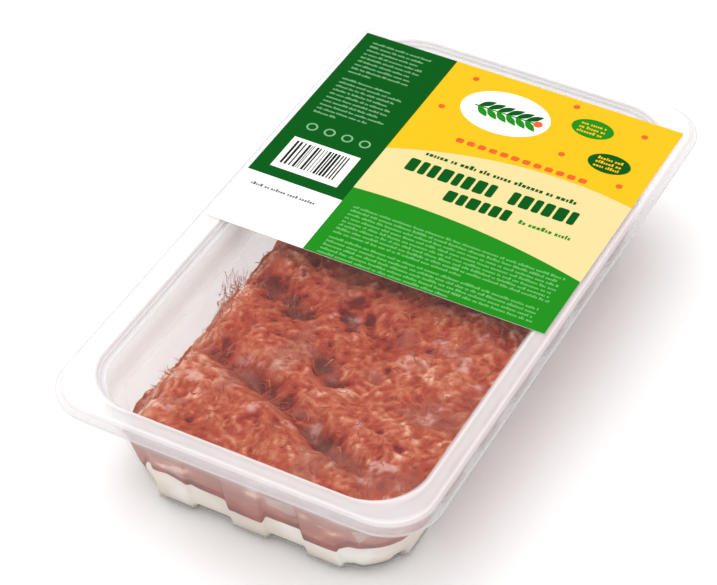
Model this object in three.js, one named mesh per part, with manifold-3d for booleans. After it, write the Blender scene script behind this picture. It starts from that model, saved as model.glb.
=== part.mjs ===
// A lidded tray of minced meat: a milky thermoformed tray with a fluted wall and moulded feet,
// an absorbent pad on its floor, the mince heaped in it, a sealed lidding film and a label on the film.
// Millimetres, +Z up. X runs across the tray, Y along it. The origin is the middle of the
// footprint, at the level of the feet.
import * as THREE from "three";
import { mergeVertices } from "three/addons/utils/BufferGeometryUtils.js";
import Module from "manifold-3d";

const wasm = await Module();
wasm.setup();

// Driving dimensions of the tray
const LENGTH = 210; // over the lip, along Y
const WIDTH = 120; // over the lip, along X
const RIM_HEIGHT = 42; // flat top of the flange above the feet
const WALL = 0.8; // sheet thickness of the tray
const LIP_FLARE = 2.3; // the lip slopes out this far from the flange
const LIP_DROP = 2.2; // and down this far
const RIM_CORNER = 14; // plan radius of the flange's edge
const OPENING_INSET = 6.3; // from the flange's edge to the opening
const OPENING_CORNER = 17.1;
const LEDGE = 1; // width of the denesting ledge under the opening
const LEDGE_DEPTH = 2.3; // depth of that ledge below the flange
const BASE_INSET = 13.8; // from the flange's edge to the foot of the wall
const WALL_CURVE = 2; // the wall is steep at the top and swings in by this power of the depth
const BASE_CORNER = 20.2;
const WAIST = 12; // height of the bend in the middle of the wall
const SHOULDER = 28; // the flutes die out at this height
const FLUTE_DEPTH = 1; // a recess lies this far inside the columns
const DECK = 1; // underside of the floor above the feet
const FOOT_REACH = 9.5; // length of a foot in from the wall
const FOOT_WIDTH = 11.8;
const FOOT_FLANK = 1.6; // width of the slope at each side of a foot
const SHORT_PITCH = 24.1; // between feet along a short side, which has three
const LONG_PITCH = 23.4; // between feet along a long side, which has seven
const SHORT_FEET = 1; // feet beyond the middle one, to each side
const LONG_FEET = 3;
const CORNER_STEPS = 5;
const NOTCH = 0.6; // beside a corner foot the recesses are this much of a foot

// Film, label and pad
const FILM = 0.25;
const LABEL = 0.25;
const FILM_INSET = 0.75; // from the flange's edge to the film's cut edge
const LABEL_LEFT = -56.3;
const LABEL_RIGHT = 55.5;
const LABEL_NEAR = -14.1;
const LABEL_FAR = 90.6;
const GAP = 0.3; // clearance between neighbours that touch in use
const PAD = 1.2; // pad thickness
const PAD_CLEAR = 0.4; // from the pad to the mince
const PAD_FLAT = 3.8; // height of the pad's edge where it lies flat
const PAD_LEFT = -31; // the pad is turned up the near wall from here to the right
const PAD_END = 5; // and its edge comes down over this width
const PAD_TURNED = 13.8; // height of the turned up edge

// Mince
const FILL_TOP = 39.5; // nothing of the mince reaches higher
const MEAT_LEVEL = 34.7; // mean height of its top
const LEFT_LEVEL = 15; // where it meets the left wall
const SLOPE_START = -31; // the heap falls away to the left from here
const SLOPE_WIDTH = 17;
const CELL = 3.6; // spacing of the relief's grid
const STRAND = 4.6; // width of a bundle of strands
const STRAND_HEIGHT = 1.5;
const LUMP = 17; // width of a soft lump
const LUMP_HEIGHT = 3;

// The crease runs behind the ridge that follows the near wall, hollows are single dents.
const CREASE = { from: [-31, -54], to: [27, -78], width: 4.5, depth: 5 };
const RIDGE = { from: [-33, -67], to: [27, -87], width: 7, depth: -2.4 };
const FAR_DENT = { from: [-31, -23], to: [-15, -28], width: 5, depth: 4.5 };
const MIDDLE_DENT = { from: [3, -46], to: [6, -50], width: 5, depth: 4 };
const RIGHT_DENT = { from: [0, -24], to: [12, -28], width: 5.5, depth: 2.6 };
const DENTS = [CREASE, RIDGE, FAR_DENT, MIDDLE_DENT, RIGHT_DENT];

const FLOOR = DECK + WALL;
const FOOT_HALF = FOOT_WIDTH / 2;
const RIM_HALF_WIDTH = WIDTH / 2 - LIP_FLARE;
const RIM_HALF_LENGTH = LENGTH / 2 - LIP_FLARE;
const LEDGE_LEVEL = RIM_HEIGHT - LEDGE_DEPTH;
const WALL_TOP_INSET = OPENING_INSET + LEDGE + 0.6;
const WALL_TOP = LEDGE_LEVEL - 0.6;
const WALL_FOOT = FLOOR + 1;

const lerp = THREE.MathUtils.lerp;
const smooth = (x, from, to) => THREE.MathUtils.smoothstep(x, from, to);

// Inset of the wall at a height.
function wallInset(z) {
  const depth = (WALL_TOP - z) / (WALL_TOP - WALL_FOOT);
  return lerp(WALL_TOP_INSET, BASE_INSET, depth ** WALL_CURVE);
}

// Half sections of the tray's inner face, as [inset from the flange's edge, height], from the floor
// out and up the wall, over the flange and down the lip: one through a foot, one through a recess.
const RIM_SECTION = [
  [wallInset(SHOULDER), SHOULDER],
  [WALL_TOP_INSET, WALL_TOP],
  [WALL_TOP_INSET - LEDGE, LEDGE_LEVEL],
  [OPENING_INSET, RIM_HEIGHT - 0.5],
  [OPENING_INSET - 0.5, RIM_HEIGHT],
  [0.5, RIM_HEIGHT],
  [0, RIM_HEIGHT - 0.4],
  [-LIP_FLARE, RIM_HEIGHT - LIP_DROP],
];
const FOOT_SECTION = [
  [BASE_INSET + FOOT_REACH + 1.9, FLOOR],
  [BASE_INSET + FOOT_REACH, WALL],
  [BASE_INSET + 3.3, WALL],
  [BASE_INSET + 1.1, WALL + 1.1],
  [BASE_INSET, WALL_FOOT],
  [wallInset(WAIST), WAIST],
  [wallInset(SHOULDER - 4), SHOULDER - 4],
  ...RIM_SECTION,
];
const RECESS_SECTION = [
  [BASE_INSET + FOOT_REACH + 1.9, FLOOR],
  [BASE_INSET + FOOT_REACH, FLOOR],
  [BASE_INSET + FLUTE_DEPTH + 3.3, FLOOR],
  [BASE_INSET + FLUTE_DEPTH + 1.1, FLOOR + 1.1],
  [wallInset(FLOOR + 3) + FLUTE_DEPTH, FLOOR + 3],
  [wallInset(WAIST) + FLUTE_DEPTH, WAIST],
  [wallInset(SHOULDER - 4) + FLUTE_DEPTH, SHOULDER - 4],
  ...RIM_SECTION,
];

// A section moved by the sheet's thickness towards the outside, mitred at its corners.
function thicken(section, distance) {
  const unit = ([ax, az], [bx, bz]) => {
    const length = Math.hypot(bx - ax, bz - az);
    return [(bx - ax) / length, (bz - az) / length];
  };
  return section.map((point, i) => {
    const before = i ? unit(section[i - 1], point) : unit(point, section[1]);
    const after = i < section.length - 1 ? unit(point, section[i + 1]) : before;
    // The inset grows inwards, so the outside lies to this side of the direction of travel.
    const normal = [before[1] + after[1], -(before[0] + after[0])];
    const scale = distance / (1 + before[0] * after[0] + before[1] * after[1]);
    return [point[0] - normal[0] * scale, point[1] - normal[1] * scale];
  });
}

// Inset of a section at a height, read between its points.
function insetAt(section, z) {
  const wall = section.slice(2);
  const above = wall.findIndex(([, height]) => height > z);
  const [[ax, az], [bx, bz]] = [wall[above - 1], wall[above]];
  return lerp(ax, bx, (z - az) / (bz - az));
}

// Plan radius of the corners at an inset from the flange's edge.
function cornerRadius(inset) {
  if (inset <= 0) return RIM_CORNER - inset;
  if (inset <= OPENING_INSET) return lerp(RIM_CORNER, OPENING_CORNER, inset / OPENING_INSET);
  return lerp(OPENING_CORNER, BASE_CORNER, (inset - OPENING_INSET) / (BASE_INSET - OPENING_INSET));
}

// The stations of one quarter of the outline, from the middle of a short side to the middle of a
// long one. Each knows its place and how much it belongs to a foot, from 0 in a recess to 1.
function quarterStations(cornerFoot) {
  const beside = cornerFoot ? NOTCH : 0;
  const edges = (pitch, count) => {
    const list = [];
    for (let k = 0; k <= count; k++) {
      const middle = k * pitch;
      if (k) list.push([middle - FOOT_HALF - FOOT_FLANK / 2, 0], [middle - FOOT_HALF + FOOT_FLANK / 2, 1]);
      if (k === count) list.push([middle, 1]);
      const after = k === count ? beside : 0;
      list.push([middle + FOOT_HALF - FOOT_FLANK / 2, 1], [middle + FOOT_HALF + FOOT_FLANK / 2, after]);
    }
    return list;
  };
  const short = edges(SHORT_PITCH, SHORT_FEET).map(([at, foot]) => ({ kind: "short", at, foot }));
  const long = edges(LONG_PITCH, LONG_FEET).map(([at, foot]) => ({ kind: "long", at, foot }));
  const corner = [];
  for (let k = 0; k <= CORNER_STEPS; k++) {
    const inside = k > 0 && k < CORNER_STEPS;
    corner.push({ kind: "corner", at: k / CORNER_STEPS, foot: cornerFoot && inside ? 1 : beside });
  }
  const middle = { kind: "short", at: 0, foot: 1 };
  return [middle, ...short, ...corner, ...long.reverse()];
}

// The whole outline, anticlockwise from the middle of the near short side. Opposite corners are
// alike: two have a foot and two have none, so that turned trays don't nest when stacked.
function outlineStations() {
  const footed = quarterStations(true);
  const bare = quarterStations(false);
  const longMiddle = { kind: "long", at: 0, foot: 1 };
  const place = (stations, signX, signY) => stations.map((s) => ({ ...s, signX, signY }));
  const back = (stations) => [longMiddle, ...stations.slice(1).reverse()];
  return [
    ...place(footed, 1, -1),
    ...place(back(bare), 1, 1),
    ...place(footed, -1, 1),
    ...place(back(bare), -1, -1),
  ];
}
const STATIONS = outlineStations();
const LAST_SHORT = SHORT_FEET * SHORT_PITCH + FOOT_HALF + FOOT_FLANK / 2;
const LAST_LONG = LONG_FEET * LONG_PITCH + FOOT_HALF + FOOT_FLANK / 2;
const CORNER_CLEAR = 2; // the corner's stations keep this far from the feet beside it

// Plan position of a station on the rounded rectangle at an inset. Under the floor, further in than
// the foot of the wall, a station keeps to the line square to the wall, so that the feet at the
// corners point to the corner's centre. The feet of a side all stand on its straight line, so the
// last one juts out where the corner's curve has begun.
function planPoint(station, inset) {
  if (station.kind === "short" && station.foot === 1)
    return [station.signX * station.at, station.signY * (RIM_HALF_LENGTH - inset)];
  if (station.kind === "long" && station.foot === 1)
    return [station.signX * (RIM_HALF_WIDTH - inset), station.signY * station.at];
  const level = Math.min(inset, BASE_INSET);
  const halfWidth = RIM_HALF_WIDTH - level;
  const halfLength = RIM_HALF_LENGTH - level;
  const radius = cornerRadius(level);
  const straight = halfWidth - radius;
  const arc = (Math.PI / 2) * radius;
  const quarter = straight + arc + halfLength - radius;
  let along = station.at;
  if (station.kind === "long") along = quarter - station.at;
  if (station.kind === "corner") {
    const from = Math.max(straight, LAST_SHORT + CORNER_CLEAR);
    const to = Math.min(straight + arc, quarter - LAST_LONG - CORNER_CLEAR);
    along = lerp(from, to, station.at);
  }
  const turn = THREE.MathUtils.clamp((along - straight) / radius, 0, Math.PI / 2);
  const reach = radius - (inset - level);
  const x = Math.min(along, straight) + reach * Math.sin(turn);
  const y = Math.min(quarter - along, halfLength - radius) + reach * Math.cos(turn);
  return [station.signX * x, station.signY * y];
}

// A closed surface through rings of equal count, from the middle of the underside out, up and back
// to the middle of the top. The first and last rings are closed with a fan. From the ring number
// given as turn the surface comes back, and its quads are split along the other diagonal, so that
// both faces of a sheet are split alike.
function loft(rings, turn = rings.length) {
  const count = rings[0].length;
  const positions = rings.flat(2);
  const index = [];
  for (let i = 0; i < rings.length - 1; i++) {
    for (let j = 0; j < count; j++) {
      const a = i * count + j;
      const b = i * count + ((j + 1) % count);
      if (i < turn) index.push(a, b, b + count, a, b + count, a + count);
      else index.push(a, b, a + count, b, b + count, a + count);
    }
  }
  const bottom = positions.length / 3;
  positions.push(0, 0, rings[0][0][2], 0, 0, rings[rings.length - 1][0][2]);
  const last = (rings.length - 1) * count;
  for (let j = 0; j < count; j++) {
    const next = (j + 1) % count;
    index.push(bottom, next, j, last + j, last + next, bottom + 1);
  }
  const geometry = new THREE.BufferGeometry();
  geometry.setAttribute("position", new THREE.Float32BufferAttribute(positions, 3));
  geometry.setIndex(index);
  geometry.computeVertexNormals();
  return geometry;
}

// One ring of a loft: every station's inset and height come from the given function.
const ring = (place) =>
  STATIONS.map((station) => {
    const [inset, z] = place(station);
    return [...planPoint(station, inset), z];
  });

// Blend of the foot and recess sections' points with the same number.
const blend = (foot, recess, i) => (station) => [
  lerp(recess[i][0], foot[i][0], station.foot),
  lerp(recess[i][1], foot[i][1], station.foot),
];

function trayGeometry() {
  const outerFoot = thicken(FOOT_SECTION, WALL);
  const outerRecess = thicken(RECESS_SECTION, WALL);
  const order = FOOT_SECTION.map((point, i) => i);
  const outside = order.map((i) => ring(blend(outerFoot, outerRecess, i)));
  const inside = order.map((i) => ring(blend(FOOT_SECTION, RECESS_SECTION, i)));
  return loft([...outside, ...inside.reverse()], order.length);
}

// The pad's edge: turned up the near wall from PAD_LEFT to the right corner, flat elsewhere. It sags
// at the columns, where the meat pushes it down.
function padEdge(station) {
  const [x, y] = planPoint(station, BASE_INSET + FLUTE_DEPTH);
  const near = smooth(-y, RIM_HALF_LENGTH - 45, RIM_HALF_LENGTH - 22);
  const right = smooth(x, PAD_LEFT - PAD_END, PAD_LEFT);
  const leftRise = 3 * smooth(-x, 14, 25);
  const cornerRise = 1.3 * smooth(x, 26, 36);
  const sag = 3.3 * station.foot * (1 - smooth(-x, 12, 20)) * (1 - smooth(x, 29, 33));
  return PAD_FLAT + near * right * (PAD_TURNED + leftRise + cornerRise - sag - PAD_FLAT);
}

// Inset of the pad's outer face: it bulges into the columns low down and spans them higher up.
function padInset(station, z) {
  const press = station.foot * (1 - smooth(z, 6, 9));
  return lerp(insetAt(RECESS_SECTION, z), insetAt(FOOT_SECTION, z), press) + GAP;
}

// Half section of the pad at a station, out along its underside, up, and back along its top.
function padSection(station) {
  const edge = padEdge(station);
  const under = FLOOR + GAP;
  const outer = [0, 0.45, 1].map((share) => {
    const z = lerp(under, edge, share);
    return [padInset(station, z), z];
  });
  const top = under + PAD;
  return [...outer, [padInset(station, edge) + PAD, edge], [padInset(station, top) + 1.5 * PAD, top]];
}

// The pad as a shallow dish, swollen on all sides by the given clearance.
function padGeometry(swell) {
  const sections = STATIONS.map((station) => {
    const section = padSection(station);
    const inwards = ([inset, z]) => [inset + PAD, z];
    const led = [inwards(section[0]), ...section, inwards(section[section.length - 1])];
    return thicken(led, swell).slice(1, -1);
  });
  const rings = sections[0].map((point, i) =>
    STATIONS.map((station, j) => [...planPoint(station, sections[j][i][0]), sections[j][i][1]]),
  );
  return loft(rings, 3);
}

// The space inside the tray that the mince may fill: the tray's own sections moved in by the gap,
// with nothing below the floor, so that the hollows of the feet stay empty.
function cavityGeometry() {
  const shrink = (section) =>
    thicken(section, -GAP).map(([inset, z]) => [inset, Math.max(z, FLOOR + GAP)]);
  const foot = shrink(FOOT_SECTION);
  const recess = shrink(RECESS_SECTION);
  const wallTop = FOOT_SECTION.findIndex(([, z]) => z === WALL_TOP);
  const rings = [];
  for (let i = 2; i <= wallTop; i++) rings.push(ring(blend(foot, recess, i)));
  return loft([...rings, ring(() => [WALL_TOP_INSET + GAP, FILL_TOP])]);
}

// Seeded smooth noise from 0 to 1, one value for each point of a unit lattice, blended between.
function latticeValue(i, j, seed) {
  let h = Math.imul(i, 374761393) + Math.imul(j, 668265263) + Math.imul(seed, 2147483647);
  h = Math.imul(h ^ (h >>> 13), 1274126177);
  return ((h ^ (h >>> 16)) >>> 0) / 4294967295;
}
function noise(x, y, seed) {
  const i = Math.floor(x);
  const j = Math.floor(y);
  const u = smooth(x - i, 0, 1);
  const v = smooth(y - j, 0, 1);
  const near = lerp(latticeValue(i, j, seed), latticeValue(i + 1, j, seed), u);
  const far = lerp(latticeValue(i, j + 1, seed), latticeValue(i + 1, j + 1, seed), u);
  return lerp(near, far, v);
}

// Depth of a dent: a long hollow along a line, deepest on the line.
function dentDepth(dent, x, y) {
  const [ax, ay] = dent.from;
  const [dx, dy] = [dent.to[0] - ax, dent.to[1] - ay];
  const share = THREE.MathUtils.clamp(((x - ax) * dx + (y - ay) * dy) / (dx * dx + dy * dy), 0, 1);
  const away = Math.hypot(x - ax - share * dx, y - ay - share * dy) / dent.width;
  return dent.depth * Math.exp(-away * away);
}

// Height of the mince's top: a level heap that falls away to the left wall, with soft lumps,
// bundles of strands as ridges in two directions, and the dents.
function meatHeight(x, y) {
  const slope = smooth(SLOPE_START - x + 2.5 * (noise(y / 11, 0.5, 7) - 0.5), 0, SLOPE_WIDTH);
  const level = MEAT_LEVEL + LUMP_HEIGHT * (noise(x / LUMP, y / LUMP, 3) - 0.5);
  const drop = (MEAT_LEVEL - LEFT_LEVEL) * slope;
  const bend = 3 * noise(x / 14, y / 14, 11);
  const first = 1 - Math.abs(2 * noise(x / STRAND + bend, y / (2.2 * STRAND), 19) - 1);
  const second = 1 - Math.abs(2 * noise(x / (2 * STRAND), y / STRAND + bend, 29) - 1);
  const strands = STRAND_HEIGHT * (Math.max(first, second) - 0.6);
  const dents = DENTS.reduce((sum, dent) => sum + dentDepth(dent, x, y), 0);
  return Math.min(level - drop + strands - dents, FILL_TOP - 1);
}

// A block over the whole opening whose top is the relief.
function reliefGeometry() {
  const columns = Math.ceil((2 * RIM_HALF_WIDTH) / CELL);
  const rows = Math.ceil((2 * RIM_HALF_LENGTH) / CELL);
  const positions = [];
  const at = (i, j, top) => 2 * (j * (columns + 1) + i) + top;
  for (let j = 0; j <= rows; j++) {
    for (let i = 0; i <= columns; i++) {
      const x = (i - columns / 2) * CELL;
      const y = (j - rows / 2) * CELL;
      positions.push(x, y, -1, x, y, meatHeight(x, y));
    }
  }
  const index = [];
  const quad = (a, b, c, d) => index.push(a, b, c, a, c, d);
  for (let j = 0; j < rows; j++) {
    for (let i = 0; i < columns; i++) {
      quad(at(i, j, 1), at(i + 1, j, 1), at(i + 1, j + 1, 1), at(i, j + 1, 1));
      quad(at(i, j + 1, 0), at(i + 1, j + 1, 0), at(i + 1, j, 0), at(i, j, 0));
    }
  }
  for (let i = 0; i < columns; i++) {
    quad(at(i, 0, 0), at(i + 1, 0, 0), at(i + 1, 0, 1), at(i, 0, 1));
    quad(at(i + 1, rows, 0), at(i, rows, 0), at(i, rows, 1), at(i + 1, rows, 1));
  }
  for (let j = 0; j < rows; j++) {
    quad(at(0, j + 1, 0), at(0, j, 0), at(0, j, 1), at(0, j + 1, 1));
    quad(at(columns, j, 0), at(columns, j + 1, 0), at(columns, j + 1, 1), at(columns, j, 1));
  }
  const geometry = new THREE.BufferGeometry();
  geometry.setAttribute("position", new THREE.Float32BufferAttribute(positions, 3));
  geometry.setIndex(index);
  return geometry;
}

function toSolid(geometry) {
  const bare = geometry.clone();
  bare.deleteAttribute("normal");
  bare.deleteAttribute("uv");
  const merged = mergeVertices(bare, 1e-4);
  return new wasm.Manifold(
    new wasm.Mesh({
      numProp: 3,
      vertProperties: merged.attributes.position.array,
      triVerts: new Uint32Array(merged.index.array),
    }),
  );
}

function toGeometry(solid) {
  const mesh = solid.getMesh();
  const geometry = new THREE.BufferGeometry();
  geometry.setAttribute("position", new THREE.BufferAttribute(mesh.vertProperties, 3));
  geometry.setIndex(new THREE.BufferAttribute(mesh.triVerts, 1));
  geometry.computeVertexNormals();
  return geometry;
}

// The mince: what fills the cavity up to the relief, over and behind the pad, in its largest piece.
function minceGeometry() {
  const filled = toSolid(cavityGeometry()).intersect(toSolid(reliefGeometry()));
  const pieces = filled.subtract(toSolid(padGeometry(PAD_CLEAR))).decompose();
  return toGeometry(pieces.reduce((best, piece) => (piece.volume() > best.volume() ? piece : best)));
}

// A flat sheet with the flange's rounded outline.
function filmGeometry() {
  const halfWidth = RIM_HALF_WIDTH - FILM_INSET;
  const halfLength = RIM_HALF_LENGTH - FILM_INSET;
  const radius = RIM_CORNER - FILM_INSET;
  const shape = new THREE.Shape();
  shape.absarc(halfWidth - radius, halfLength - radius, radius, 0, Math.PI / 2);
  shape.absarc(radius - halfWidth, halfLength - radius, radius, Math.PI / 2, Math.PI);
  shape.absarc(radius - halfWidth, radius - halfLength, radius, Math.PI, 1.5 * Math.PI);
  shape.absarc(halfWidth - radius, radius - halfLength, radius, 1.5 * Math.PI, 2 * Math.PI);
  return new THREE.ExtrudeGeometry(shape, { depth: FILM, bevelEnabled: false, curveSegments: 6 });
}

function part(name, geometry, colour, roughness, height = 0) {
  const material = new THREE.MeshStandardMaterial({ color: colour, roughness, metalness: 0 });
  const mesh = new THREE.Mesh(geometry, material);
  mesh.name = name;
  mesh.position.z = height;
  return mesh;
}

const pack = new THREE.Group();
const labelWidth = LABEL_RIGHT - LABEL_LEFT;
const labelLength = LABEL_FAR - LABEL_NEAR;
const label = part(
  "label",
  new THREE.BoxGeometry(labelWidth, labelLength, LABEL),
  0x2a9a25,
  0.45,
  RIM_HEIGHT + FILM + LABEL / 2,
);
label.position.x = (LABEL_LEFT + LABEL_RIGHT) / 2;
label.position.y = (LABEL_NEAR + LABEL_FAR) / 2;

pack.add(part("tray", trayGeometry(), 0xf0eeee, 0.4));
pack.add(part("absorbent_pad", padGeometry(0), 0xe8e2da, 0.9));
pack.add(part("mince", minceGeometry(), 0xb95f46, 0.5));
pack.add(part("lidding_film", filmGeometry(), 0xf8f8f8, 0.1, RIM_HEIGHT));
pack.add(label);

export default pack;
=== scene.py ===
"""Looks of a sealed tray of minced meat: a milky thermoformed tray, an absorbent pad, the mince with
its strands, a clear lidding film and a printed label. Sizes in this file are millimetres, +Z up, with
the origin in the middle of the footprint at the level of the feet; meshes are made in metres."""
import math
from typing import NamedTuple

import bpy
import numpy as np
from bpy.props import FloatProperty, FloatVectorProperty, IntProperty, PointerProperty
from mathutils import Matrix, Vector


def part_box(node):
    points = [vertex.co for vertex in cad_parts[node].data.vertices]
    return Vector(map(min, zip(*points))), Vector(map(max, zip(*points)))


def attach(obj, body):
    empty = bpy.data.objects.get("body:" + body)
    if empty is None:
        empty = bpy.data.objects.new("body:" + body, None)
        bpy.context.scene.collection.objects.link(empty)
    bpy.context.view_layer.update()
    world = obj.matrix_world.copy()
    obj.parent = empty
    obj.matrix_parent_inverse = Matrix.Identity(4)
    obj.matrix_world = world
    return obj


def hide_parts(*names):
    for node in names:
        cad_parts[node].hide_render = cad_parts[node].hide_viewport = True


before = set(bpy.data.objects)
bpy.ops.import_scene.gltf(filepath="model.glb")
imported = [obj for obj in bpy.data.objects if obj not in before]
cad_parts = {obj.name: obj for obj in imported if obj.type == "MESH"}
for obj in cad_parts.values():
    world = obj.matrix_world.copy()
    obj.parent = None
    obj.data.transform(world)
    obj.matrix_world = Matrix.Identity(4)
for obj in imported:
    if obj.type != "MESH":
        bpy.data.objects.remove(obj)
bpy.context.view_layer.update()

bl_info = {
    "name": "Mince tray pack",
    "version": (1, 0, 0),
    "blender": (4, 5, 0),
    "location": "View3D > Sidebar > Mince tray",
    "description": "Builds a lidded tray of minced meat around its packed solids",
    "category": "Add Mesh",
}

MM = 0.001
BODY = "root"


def node_box(name):
    """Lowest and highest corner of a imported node, in millimetres."""
    low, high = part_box(name)
    return np.array(low) / MM, np.array(high) / MM


TRAY_HIGH = node_box("tray")[1]
FILM_LOW, FILM_HIGH = node_box("lidding_film")
LABEL_LOW, LABEL_HIGH = node_box("label")

# Driving dimensions of the tray, as in its solid
LIP_FLARE = 2.3
LIP_DROP = 2.2
RIM_HEIGHT = float(FILM_LOW[2])
RIM_HALF_WIDTH = float(TRAY_HIGH[0]) - LIP_FLARE
RIM_HALF_LENGTH = float(TRAY_HIGH[1]) - LIP_FLARE
WALL = 0.8
RIM_CORNER = 14.0
OPENING_INSET = 6.3
OPENING_CORNER = 17.1
LEDGE = 1.0
LEDGE_DEPTH = 2.3
BASE_INSET = 13.8
WALL_CURVE = 2.0
BASE_CORNER = 20.2
WAIST = 12.0
SHOULDER = 28.0
FLUTE_DEPTH = 1.0
DECK = 1.0
FOOT_REACH = 9.5
FOOT_WIDTH = 11.8
FOOT_FLANK = 1.6
SHORT_PITCH = 24.1
LONG_PITCH = 23.4
SHORT_FEET = 1
LONG_FEET = 3
CORNER_CLEAR = 2.0
CORNER_STEPS = 5
NOTCH = 0.6

# Slopes and cut corners of its section, which are rounded after
FOOT_SLOPE = 1.9
BEND_START = 3.3
BEND = 1.1
LEDGE_SLOPE = 0.6
OPENING_EDGE = 0.5
FLANGE_EDGE = 0.5
LIP_START = 0.4

FLOOR = DECK + WALL
WALL_FOOT = FLOOR + 1.0
RECESS_FOOT = FLOOR + 3
FLUTE_TOP = SHOULDER - 4
LEDGE_LEVEL = RIM_HEIGHT - LEDGE_DEPTH
WALL_TOP_INSET = OPENING_INSET + LEDGE + LEDGE_SLOPE
WALL_TOP = LEDGE_LEVEL - LEDGE_SLOPE
LAST_SHORT = SHORT_FEET * SHORT_PITCH + (FOOT_WIDTH + FOOT_FLANK) / 2
LAST_LONG = LONG_FEET * LONG_PITCH + (FOOT_WIDTH + FOOT_FLANK) / 2

# Pad
GAP = 0.3
PAD = 1.2
PAD_FLAT = 3.8
PAD_LEFT = -31.0
PAD_END = 5.0
PAD_TURNED = 13.8
PAD_CLEAR = 0.05
PAD_UNEVEN = 0.9
PAD_WAVE = 3.1
# Its turned up edge rises to the left and at the right corner and sags on the feet between, each as
# (by how much, from, to) along X
PAD_LEFT_RISE = (3.0, 14.0, 25.0)
PAD_CORNER_RISE = (1.3, 26.0, 36.0)
PAD_SAG = 3.3
PAD_SAG_ENDS = ((12.0, 20.0), (29.0, 33.0))
# and it comes up between these distances from the flange's near edge
PAD_COMES_UP = (45.0, 22.0)

# Film
FILM_INSET = 0.75
FILM_SHEET = 0.08
FILM_CLEAR = 0.02
FILM_UNEVEN = 0.1
FILM_WAVE = 24.0

# Mince
MEAT_LEVEL = 34.7
LEFT_LEVEL = 15.0
SLOPE_START = -31.0
SLOPE_WIDTH = 17.0
STRAND = 4.6
STRAND_HEIGHT = 1.5
LUMP = 17.0
LUMP_HEIGHT = 3.0
MEAT_TOP = 40.8
LOOSE_TOP = MEAT_TOP - 0.3
INTO_WALL = 0.1
RASTER = 0.3
RASTER_HALF = (52.0, 98.0)
CORE_ROUGHNESS = 0.62

# Dents in the heap as (from, to, width, depth): the crease, the ridge before it and three hollows
DENTS = (
    ((-31, -54), (27, -78), 4.5, 5.0),
    ((-33, -67), (27, -87), 7.0, -2.4),
    ((-31, -23), (-15, -28), 5.0, 4.5),
    ((3, -46), (6, -50), 5.0, 4.0),
    ((0, -24), (12, -28), 5.5, 2.6),
)

# Lumps of fat pressed against the near wall, as (x, height, half width)
FAT_BLOBS = (
    (-20.0, 22.0, 3.2), (-26.0, 20.0, 2.2), (29.0, 20.0, 3.2), (4.0, 24.0, 2.6), (20.0, 23.0, 2.2),
)

# Seeds of the noises and of the random draws
SEED = {
    "pad_edge": 41, "film": 5, "ragged_side": 9, "slope": 7, "heap": 3, "bundle_bend": 11,
    "first_bundles": 19, "second_bundles": 29, "grain": 53, "relief": 11, "lumps": 131,
    "streak_bend": 151, "coarse_streaks": 161, "fine_streaks": 171, "streak_patches": 181,
    "pits": 5, "clouds": 61, "pools": 73, "veil": 71, "gel": 77, "gel_grain": 79,
    "pockets": 83, "side_streaks": 89, "juice_rise": 93, "juice": 91, "loose": 101, "print": 7,
}

# Camera, solved from the flange, the opening and the feet in the photograph
IMAGE_WIDTH = 717
FOCAL_PIXELS = 2582.5
SENSOR = 36.0
CAMERA_TARGET = (0.14, -23.24, RIM_HEIGHT)
CAMERA_DISTANCE = 753.2
CAMERA_AZIMUTH = 27.19
CAMERA_ELEVATION = 42.0
CAMERA_ROLL = 0.77
CAMERA_REACH = 50.0

# Stage: the floor's half side in millimetres, and the softboxes as (name, place and side in metres,
# share of the power), which face a point in the pack
FLOOR_HALF = 3000.0
SOFTBOXES = (
    ("overhead_softbox", (-0.15, -0.1, 1.1), 1.3, 1.0),
    ("left_softbox", (-1.3, 0.5, 0.7), 0.9, 0.35),
)
SOFTBOX_AIM = (0, 0, 0.03)

# Longest steps of the meshes round the tray and over its feet's flanks, how many quads the top of
# the mince has across, in its near part and in its far part, and how many points the film's
# straights have across and along
TRAY_STEPS = (1.3, 0.24)
PAD_STEPS = (1.6, 0.4)
MEAT_GRID = (220, 236, 76)
FILM_GRID = (40, 70)

# How much more the sheet hides along the folds of the rim: a painted highlight, which makes them whiter
FOLD_HIGHLIGHT = 0.32


def linear(code):
    """Linear RGB of an sRGB hex colour: c / 12.92 below 0.04045, else ((c + 0.055) / 1.055) ** 2.4."""
    shares = np.array([int(code[i : i + 2], 16) / 255 for i in (1, 3, 5)])
    dark = shares <= 0.04045
    return tuple(np.where(dark, shares / 12.92, ((shares + 0.055) / 1.055) ** 2.4))


def smooth(x, low, high):
    """Smoothstep: 3 t^2 - 2 t^3 of the share t of x between low and high."""
    t = np.clip((x - low) / (high - low), 0.0, 1.0)
    return t * t * (3.0 - 2.0 * t)


def mix(a, b, share):
    """Straight blend a + (b - a) share."""
    return a + (b - a) * share


def lattice(i, j, seed):
    """A fixed pseudo-random value from 0 to 1 for each whole lattice point, by mixing 32-bit words."""
    mask = 0xFFFFFFFF
    word = (i * 374761393 + j * 668265263 + seed * 2147483647) & mask
    word = ((word ^ (word >> 13)) * 1274126177) & mask
    return (word ^ (word >> 16)) / mask


def noise(x, y, seed):
    """Smooth noise: lattice values blended by smoothstep between the four corners of each unit cell."""
    x, y = np.broadcast_arrays(np.asarray(x, float), np.asarray(y, float))
    i = np.floor(x).astype(np.int64)
    j = np.floor(y).astype(np.int64)
    u = smooth(x - i, 0.0, 1.0)
    v = smooth(y - j, 0.0, 1.0)
    near = mix(lattice(i, j, seed), lattice(i + 1, j, seed), u)
    far = mix(lattice(i, j + 1, seed), lattice(i + 1, j + 1, seed), u)
    return mix(near, far, v)


# The tray's outline and section


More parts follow.
